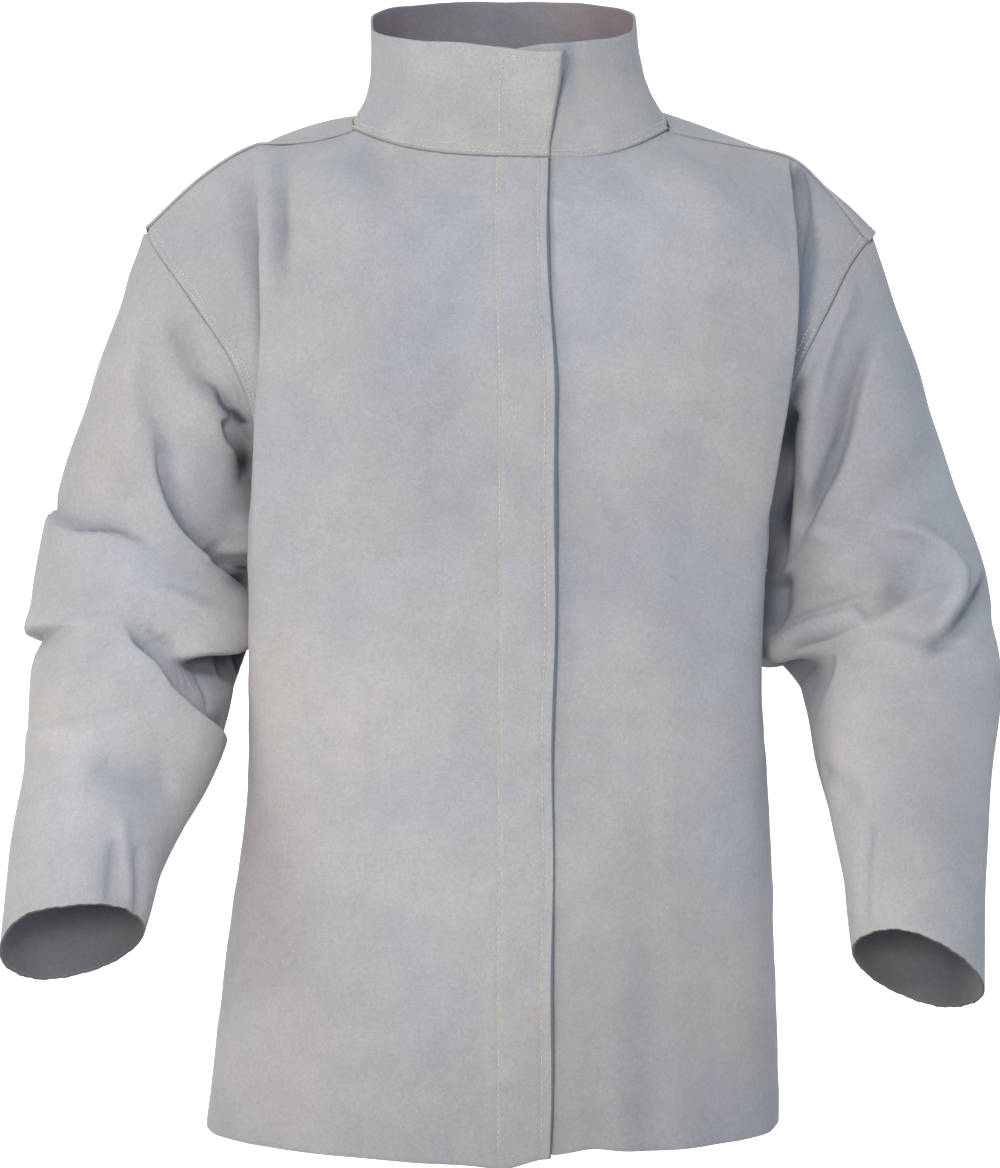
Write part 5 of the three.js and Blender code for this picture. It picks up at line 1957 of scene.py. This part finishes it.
    def cuff(self, at: Array, down: Array) -> Array:
        """How the raw cuff edge runs up and down the arm.

        Args:
            at: each row's place in sections down from the armhole.
            down: the direction down the arm at each point.

        Returns:
            The move of each point.
        """
        middle, reach, lift = self.cuff_lift
        turn = np.radians(self.turns)
        raised = -lift * bump(self.turns - middle, reach)
        ragged = 0.3 * np.sin(5 * turn + 1) + 0.25 * np.sin(17 * turn + 2) + 0.2 * np.sin(41 * turn)
        ease = smooth(at, *self.cuff_zone)[:, None] * raised
        ease = ease + smooth(at, *self.ragged_zone)[:, None] * ragged
        return down * ease[..., None]

    def build(self, finishes: Finishes) -> None:
        """Makes the sleeve.

        Args:
            finishes: the jacket's materials.
        """
        edge, tucked, clear = self.ring()
        strands = np.concatenate([clear[None], self.sections(edge.mean(axis=0))])
        ahead = through(strands, np.linspace(0, 1, 500))[:, int(np.argmin(np.abs(self.turns - 90.0)))]
        t = even(ahead, self.down_steps, (250.0, 110.0, 0.9))
        cloth = Cloth(through(strands, t), self.side.value, True)
        at = t * (len(strands) - 1)
        turn = np.radians(self.turns)[None]
        across = 60.0 * np.cos(turn) + np.zeros((len(at), 1))
        along = 60.0 * np.sin(turn) + 70.0 * at[:, None]
        drape = waves(across, along, 60.0, 71)
        _, down = cloth.slopes()
        move, out, dark = self.folded(cloth, strands)
        moved = smooth(at, 0.0, 0.12)[:, None, None] * move
        moved += cloth.normals() * (0.7 * drape * smooth(at, 0.1, 0.6)[:, None])[..., None]
        moved += self.cuff(at, unit(down))
        cloth.points = np.concatenate([tucked[None], edge[None], cloth.points + moved])
        # Painted shade in the hollows and along the dark lines, painted highlight on the crests
        sunk = np.clip(dark - out / self.shade_depth, 0.0, SHADE_LIMIT)
        soil = np.where(out < 0, sunk, dark - out / self.highlight_height)
        cloth.soil = np.concatenate([np.zeros((2, self.round_steps)), soil])
        piece = cloth.shell(self.name, WALL, [finishes.outside, finishes.inside, finishes.dark_cut])
        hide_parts(self.node)


def distance_to(line: Array, points: Array, normals: Array, turned: int) -> tuple[Array, Array, Array]:
    """How points of the leather lie beside a line on it.

    Args:
        line: the line's points.
        points: the points of the leather.
        normals: its normals.
        turned: 1 or -1, which side of the line counts as after it.

    Returns:
        The distance, negative before the line; the share of the line's length passed; and the direction
        across the line.
    """
    shape = points.shape[:-1]
    best = np.full(shape, np.inf)
    share = np.zeros(shape)
    along_best = np.zeros(points.shape)
    lengths = np.linalg.norm(np.diff(line, axis=0), axis=1)
    before = np.concatenate([[0], np.cumsum(lengths)])
    offset_best = np.zeros(points.shape)
    for k, length in enumerate(lengths):
        along = (line[k + 1] - line[k]) / length
        from_start = points - line[k]
        passed = np.clip(from_start @ along, 0, length)
        offset = from_start - passed[..., None] * along
        far = np.einsum("...i,...i->...", offset, offset)
        nearer = far < best
        best = np.where(nearer, far, best)
        share = np.where(nearer, (before[k] + passed) / before[-1], share)
        along_best[nearer] = along
        offset_best[nearer] = offset[nearer]
    aside = unit(np.cross(normals, along_best)) * turned
    gap = np.sqrt(best) * np.where(np.einsum("...i,...i->...", offset_best, aside) >= 0, 1.0, -1.0)
    return gap, share, aside


@dataclass
class Collar:
    """The stand collar: one strip from its hidden end, round the neck, to its outer end.

    end_drop and hidden_drop are how far the rim drops at both ends, and how far along it that reaches.
    box_sides are the sewn rectangle's upright rows: their distance from the outer end and how far they lean.
    box_top and box_foot are its level rows: their distance from the rim or the foot, and their ends. shape()
    notes how far each point is up the collar, from its hidden end and from its outer end.
    """

    name: str = "collar_leather"
    node: str = "collar"
    lap: float = 9.0
    raise_lap: float = 0.3
    top_x: float = 0.0
    top_half_width: float = 94.0
    top_y: float = 2.0
    top_half_depth: float = 78.0
    top_z: float = 73.0
    climb: Pair = (19.5, 22.0)
    squareness: Pair = (0.75, 0.58)
    flare: Pair = (4.0, 2.0)
    lap_t: float = 0.933
    columns: int = 340
    rows: int = 46
    heights: tuple[float, ...] = (0.0, 0.12, 0.3, 0.6, 1.0)
    sewn_rows: Pair = (2.2, 6.8)
    end_x: Pair = (32.0, 40.5)
    end_reach: float = 30.0
    end_drop: Pair = (6.5, 58.0)
    hidden_drop: Pair = (6.0, 50.0)
    stand_off: float = 9.0
    front_lap: float = 2.0
    crowding: float = 1.25
    box_sides: tuple[Pair, ...] = ((2.8, 0.0), (34.5, 4.5))
    box_top: Triple = (5.5, 2.8, 30.0)
    box_foot: Triple = (11.5, 2.5, 24.0)
    groove: Groove = field(default_factory=Groove)
    up: Array = field(init=False)
    from_start: Array = field(init=False)
    to_end: Array = field(init=False)

    @property
    def ends(self) -> Pair:
        """The turns of the hidden and the outer end."""
        return TRUNK.turn_at(UNDER_EDGE_X), 2 * math.pi + TRUNK.turn_at(FLY_EDGE_X - 1.0)

    def stand(self, turn: Array, height: float) -> Array:
        """Points on the collar's middle surface.

        Args:
            turn: turns round the neck.
            height: from 0 at the seam to 1 at the rim.

        Returns:
            The points.
        """
        base = TRUNK.neck(turn)
        ahead = np.cos(turn)
        (front_climb, back_climb), (front_square, back_square) = self.climb, self.squareness
        front = front_climb * np.maximum(ahead, 0.0) ** front_square
        rim = self.top_z - front + back_climb * np.maximum(-ahead, 0.0) ** back_square
        flare = mix(self.flare[0], self.flare[1], 0.5 + 0.5 * np.sin(turn))
        lean = (1 - height) ** flare
        x = mix(self.top_x + self.top_half_width * np.sin(turn), base[:, 0], lean)
        y = mix(self.top_y - self.top_half_depth * ahead, base[:, 1], lean)
        return np.stack([x, y, mix(base[:, 2], rim, height)], axis=-1)

    def panel_below(self, turn: Array) -> tuple[Array, Array]:
        """The panels just below the neck.

        Args:
            turn: turns round the neck.

        Returns:
            Points on them and their normals.
        """
        turned = np.arctan2(np.sin(turn), np.cos(turn))
        points, normals = np.zeros((len(turn), 3)), np.zeros((len(turn), 3))
        middle = TRUNK.turn_at(0.0)
        behind = np.abs(turned) > math.pi / 2
        share = np.where(turned < 0, -turned - math.pi / 2, 1.5 * math.pi - turned) / math.pi
        on_back = TRUNK.back_shoulder + (1 - 2 * TRUNK.back_shoulder) * share
        self.read(points, normals, behind, on_back, TRUNK.back, -1)
        for side in Side:
            sign = side.value
            quarter = sign * math.pi / 2
            mid = TRUNK.neck_turn * quarter
            mark = np.interp(sign * turned, [sign * middle, sign * mid, sign * quarter], [1, 2, 3])
            here = ~behind & ((turned < middle) if side is Side.RIGHT else (turned >= middle))
            self.read(points, normals, here, mark / FRONT_SPANS, partial(TRUNK.chest, side), sign)
        return points, normals

    def read(self, points: Array, normals: Array, here: Array, s: Array, surface: Surface, hand: int) -> None:
        """Reads a panel just below the neck into lists of points and normals.

        Args:
            points: the points to fill.
            normals: the normals to fill.
            here: which of them lie on this panel.
            s: their places across it.
            surface: the panel.
            hand: the sign of its normals.
        """
        step = 0.004
        where = s[here]
        t = np.array([self.lap_t - step, self.lap_t, self.lap_t + step])
        grid = surface(where, t)
        before, after = (surface(np.clip(where + move, 0, 1), t[1:2])[0] for move in (-step, step))
        side = after - before
        points[here] = grid[1]
        normals[here] = unit(np.cross(side, grid[2] - grid[0])) * hand

    def sink(self, turn: Array) -> Array:
        """How far the hidden end lies below the outer one.

        Args:
            turn: turns round the neck.

        Returns:
            The distance at each turn.
        """
        layer = 2 * WALL + self.raise_lap + 2 * GAP
        x = TRUNK.neck(turn)[:, 0]
        return np.where(turn > math.pi / 2, 0.0, layer * (1 - smooth(x, FLY_EDGE_X, FLY_BLEND_X)))

    def strip(self, turn: Array, heights: tuple[float, ...], sink: Array, lapped: bool) -> Array:
        """Rows of points up a strip of the collar.

        Args:
            turn: turns round the neck.
            heights: the rows' heights.
            sink: how far each column lies below the outer layer.
            lapped: whether it starts with the edge that laps over the panels.

        Returns:
            Points by row and column.
        """
        below, on_panel = self.panel_below(turn)
        rows = []
        step = 0.01
        for height in heights:
            side = self.stand(turn + step, height) - self.stand(turn - step, height)
            up = self.stand(turn, min(1.0, height + step)) - self.stand(turn, max(0.0, height - step))
            lying = 0.5 * (1 - float(smooth(np.array(height), 0.0, 0.35)))
            normal = unit(mix(unit(np.cross(side, up)), on_panel, lying))
            lifted = WALL + self.raise_lap * (1 - float(smooth(np.array(height), 0.0, 0.5)))
            rows.append(self.stand(turn, height) + normal * (lifted - sink)[:, None])
        if lapped:
            seam = rows[0]
            towards = below + on_panel * (WALL + self.raise_lap - sink)[:, None] - seam
            reach = mix(self.front_lap, self.lap, smooth(-np.cos(turn), 0.15, 0.7))
            low = unit(towards) * reach[:, None]
            rows = [seam + low, seam + low * 0.5, *rows]
        return np.stack(rows)

    def shape(self) -> Cloth:
        """Shapes the collar's outside, with its sewn dents and raw rim.

        Returns:
            The collar.
        """
        start, end = self.ends
        turn = np.linspace(start, end, self.columns + 1)
        rows = self.strip(turn, self.heights, self.sink(turn), True)
        middle = rows[:, self.columns // 2]
        run = run_along(middle)
        places = np.linspace(0, 1, self.rows + 1) ** self.crowding * run[-1]
        share = np.interp(places, run, np.linspace(0, 1, len(run)))
        cloth = Cloth(through(rows, share), 1)
        self.up = cloth.run_down()
        around = cloth.run_across()
        self.from_start = around
        self.to_end = around[:, -1:] - around
        rim = smooth(self.up / self.up[-1:], 0.55, 1.0)
        relief = 0.7 * waves(around, self.up * 0.6, 55.0, 5) + 0.25 * waves(around, self.up, 22.0, 6)
        relief *= smooth(self.up, 6.0, 24.0)
        near, far = self.sewn_rows
        sewn = self.groove.at(self.up - near) + self.groove.at(self.up - far)
        cloth.lift(relief + sewn)
        cloth.points[..., 2] += rim * 0.35 * waves(around, around * 0.0, 46.0, 9)
        self.loosen(cloth)
        return cloth

    def loosen(self, cloth: Cloth) -> None:
        """Lets the outer end lean and stand off at its top.

        Args:
            cloth: the collar.
        """
        height = np.clip((self.up - self.lap) / (self.up[-1:] - self.lap), 0, 1)
        near = np.exp(-self.to_end / self.end_reach)
        end = cloth.points[:, -1, 0]
        straight = self.end_x[0] + (self.end_x[1] - self.end_x[0]) * height[:, -1]
        cloth.points[..., 0] += near * (straight - end)[:, None]
        for away, (drop, reach) in ((self.to_end, self.end_drop), (self.from_start, self.hidden_drop)):
            cloth.points[..., 2] -= height * drop * (1 - smooth(away, 0.0, reach))
        cloth.lift(near * height**1.3 * self.stand_off)

    def box_lines(self, cloth: Cloth) -> list[Line]:
        """The sewn rectangle at the outer end.

        Args:
            cloth: the collar.

        Returns:
            Its rows.
        """
        height = self.up / self.up[-1:]
        upright = (self.up[:, -1] > self.lap) & (self.up[:, -1] < self.up[-1, -1] - 5.0)
        lines = []
        for away, lean in self.box_sides:
            lines.append(cloth.line(-self.to_end - lean * height, -away, True, upright))
        away, start, end = self.box_top
        level = (self.to_end[-1] > start) & (self.to_end[-1] < end)
        lines.append(cloth.line(self.up - self.up[-1:], -away, False, level))
        away, start, end = self.box_foot
        level = (self.to_end[0] > start) & (self.to_end[0] < end)
        lines.append(cloth.line(self.up, away, False, level))
        return lines

    def build(self, finishes: Finishes) -> None:
        """Makes the collar and its stitches.

        Args:
            finishes: the jacket's materials.
        """
        cloth = self.shape()
        slant = np.zeros_like(cloth.points)
        slant[:, -1, 0] = 1.2 + 1.5 * self.up[:, -1] / self.up[-1, -1]
        piece = cloth.shell(self.name, WALL, [finishes.outside, finishes.inside, finishes.collar_cut], slant)
        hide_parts(self.node)
        lines = [cloth.line(self.up, distance, False) for distance in self.sewn_rows]
        lines += self.box_lines(cloth)
        sewing = StitchRow(3.4, 2.4).build("collar_stitches", lines, finishes.yellow_thread)


@dataclass
class ClosingStrips:
    """The tapes that close the front and the collar, out of sight between their layers."""

    heights: Pair = (0.004, 0.965)
    collar_heights: tuple[float, ...] = (0.12, 0.3, 0.6, 0.92)
    steps: int = 160
    collar_steps: int = 20
    columns: int = 13

    def build(self, collar: Collar, tape: Material) -> None:
        """Makes both tapes.

        Args:
            collar: the collar, which carries the short one.
            tape: their material.
        """
        inner, outer = STRIP_EDGES_X
        first, last = ((FLY_EDGE_X - x) / FLY_EDGE_X / FRONT_SPANS for x in (outer, inner))
        s = np.linspace(first, last, self.columns)
        front = Cloth(TRUNK.chest(Side.RIGHT, s, np.linspace(*self.heights, self.steps)), -1)
        front.lift(np.full(front.points.shape[:2], -WALL - GAP))
        self.finish(front, "front_tape", "front_closing_strip", (0.034, 0.75), tape)
        ends = [2 * math.pi + TRUNK.turn_at(x) for x in STRIP_EDGES_X]
        turn = np.linspace(*ends, self.columns)
        rows = collar.strip(turn, self.collar_heights, np.full(len(turn), WALL + GAP), False)
        short = Cloth(through(rows, np.linspace(0, 1, self.collar_steps)), 1)
        self.finish(short, "collar_tape", "collar_closing_strip", (0.034, 0.062), tape)

    def finish(self, cloth: Cloth, name: str, node: str, flat: Pair, tape: Material) -> None:
        """Makes one tape.

        Args:
            cloth: its outside.
            name: the piece's name.
            node: the solid that it stands for.
            flat: its cut width and length in metres; not used.
            tape: its material.
        """
        piece = cloth.shell(name, STRIP_WALL, [tape] * 3)
        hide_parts(node)


@dataclass
class Studio:
    """White paper, soft lamps and the camera, which stands where the photograph was taken."""

    eye: Triple = (-0.0022, -2.8, -0.13)
    aim: Triple = (-0.0022, 0.0, -0.334)
    lens: float = 118.05
    floor_half_width: float = 4.5
    floor_z: float = -1.25
    floor_front: float = -5.5
    floor_back: float = 1.7
    wall_y: float = 9.0
    wall_top: float = 14.5
    bend: float = 3.0
    wall_spread: float = 1.73

    def build(self) -> None:
        """Sets up the paper, the lamps, the surrounding light and the camera."""
        self.paper()
        self.lamp("key_lamp", (0.0, -2.6, 2.0), 0.8, 43.0, (0.96, 1.0, 1.03))
        self.lamp("front_lamp", (-0.6, -3.4, 0.4), 0.7, 35.0, (1.0, 0.86, 0.75))
        self.lamp("side_lamp", (-2.6, -1.0, 0.2), 0.9, 23.0, (1.0, 0.88, 0.70))
        self.surroundings()
        self.camera()

    def paper(self) -> None:
        """A pale floor, and a wall behind it that bends up from it and glows white."""
        turns = np.linspace(0, math.pi / 2, 16)
        start = self.wall_y - self.bend
        bend_y, bend_z = start + self.bend * np.sin(turns), self.floor_z + self.bend * (1 - np.cos(turns))
        first, last = [[self.floor_back, self.floor_z]], [[self.wall_y, self.wall_top]]
        floor = np.array([[self.floor_front, self.floor_z], *first])
        wall = np.concatenate([first, np.stack([bend_y, bend_z], axis=-1), last])
        flat = np.full(len(floor), self.floor_half_width)
        self.sweep("studio_floor", floor, flat, BackdropFinish("studio_floor", (0.8, 0.8, 0.8), 0.0))
        spread = self.wall_spread * wall[:, 0]
        self.sweep("studio_wall", wall, spread, BackdropFinish("studio_wall", (0.9, 0.9, 0.9), 1.05))

    def sweep(self, name: str, line: Array, halves: Array, finish: BackdropFinish) -> None:
        """Pulls a line across the studio as a sheet of paper.

        Args:
            name: the sheet's name.
            line: its y and z in metres, from the front to the back.
            halves: its half width at each point of the line.
            finish: its finish.
        """
        count = len(line)
        places = [(sign * half, y, z) for sign in (-1, 1) for half, (y, z) in zip(halves, line)]
        faces = [(k, k + count, k + count + 1, k + 1) for k in range(count - 1)]
        mesh = bpy.data.meshes.new(name)
        mesh.from_pydata(places, [], faces)
        mesh.polygons.foreach_set("use_smooth", np.ones(len(faces), bool))
        mesh.materials.append(finish.material())
        put_in_scene(name, mesh)

    def lamp(self, name: str, place: Triple, size: float, power: float, colour: Triple) -> None:
        """Hangs a square soft lamp that faces the jacket.

        Args:
            name: its name.
            place: where it hangs, in metres.
            size: its side in metres.
            power: its power in watts.
            colour: its colour.
        """
        light = bpy.data.lights.new(name, "AREA")
        light.shape = "SQUARE"
        light.size = size
        light.energy = power
        light.color = colour
        self.face(put_in_scene(name, light), place)

    def face(self, thing: Piece, place: Triple) -> None:
        """Puts a thing in its place, facing the jacket.

        Args:
            thing: a lamp or the camera.
            place: where it goes, in metres.
        """
        from_place = bpy.context.scene.cursor.location.copy()
        from_place[:] = place
        to_place = from_place.copy()
        to_place[:] = self.aim
        thing.location = from_place
        thing.rotation_euler = (to_place - from_place).to_track_quat("-Z", "Y").to_euler()

    def surroundings(self) -> None:
        """Pale even light from all round."""
        world = bpy.data.worlds.new("studio_air")
        world.use_nodes = True
        background = world.node_tree.nodes["Background"]
        background.inputs["Color"].default_value = (0.70, 0.86, 1.0, 1.0)
        background.inputs["Strength"].default_value = 0.33
        bpy.context.scene.world = world

    def camera(self) -> None:
        """The camera at the photograph's place, and plain colours."""
        lens = bpy.data.cameras.new("photo_camera")
        lens.lens = self.lens
        lens.sensor_width = 36.0
        lens.clip_end = 60.0
        camera = put_in_scene("photo_camera", lens)
        self.face(camera, self.eye)
        bpy.context.scene.camera = camera
        bpy.context.scene.view_settings.view_transform = "Standard"


def main() -> None:
    """Builds the jacket piece by piece, then the studio round it."""
    logging.basicConfig(level=logging.INFO, format="%(name)s %(message)s")
    finishes = Finishes()
    FrontPanel(Side.RIGHT, FLY_EDGE_X, 0.0, "right_front_leather", "front_right").build(finishes)
    FrontPanel(Side.LEFT, UNDER_EDGE_X, UNDER_HEM_RISE, "left_front_leather", "front_left").build(finishes)
    BackPanel().build(finishes)
    Sleeve(Side.RIGHT, "right_sleeve_leather", "sleeve_right", (40.0, 40.0, 8.0)).build(finishes)
    Sleeve(Side.LEFT, "left_sleeve_leather", "sleeve_left", (95.0, 55.0, 4.0)).build(finishes)
    collar = Collar()
    collar.build(finishes)
    ClosingStrips().build(collar, finishes.tape)
    Studio().build()


if __name__ == "__main__":
    main()
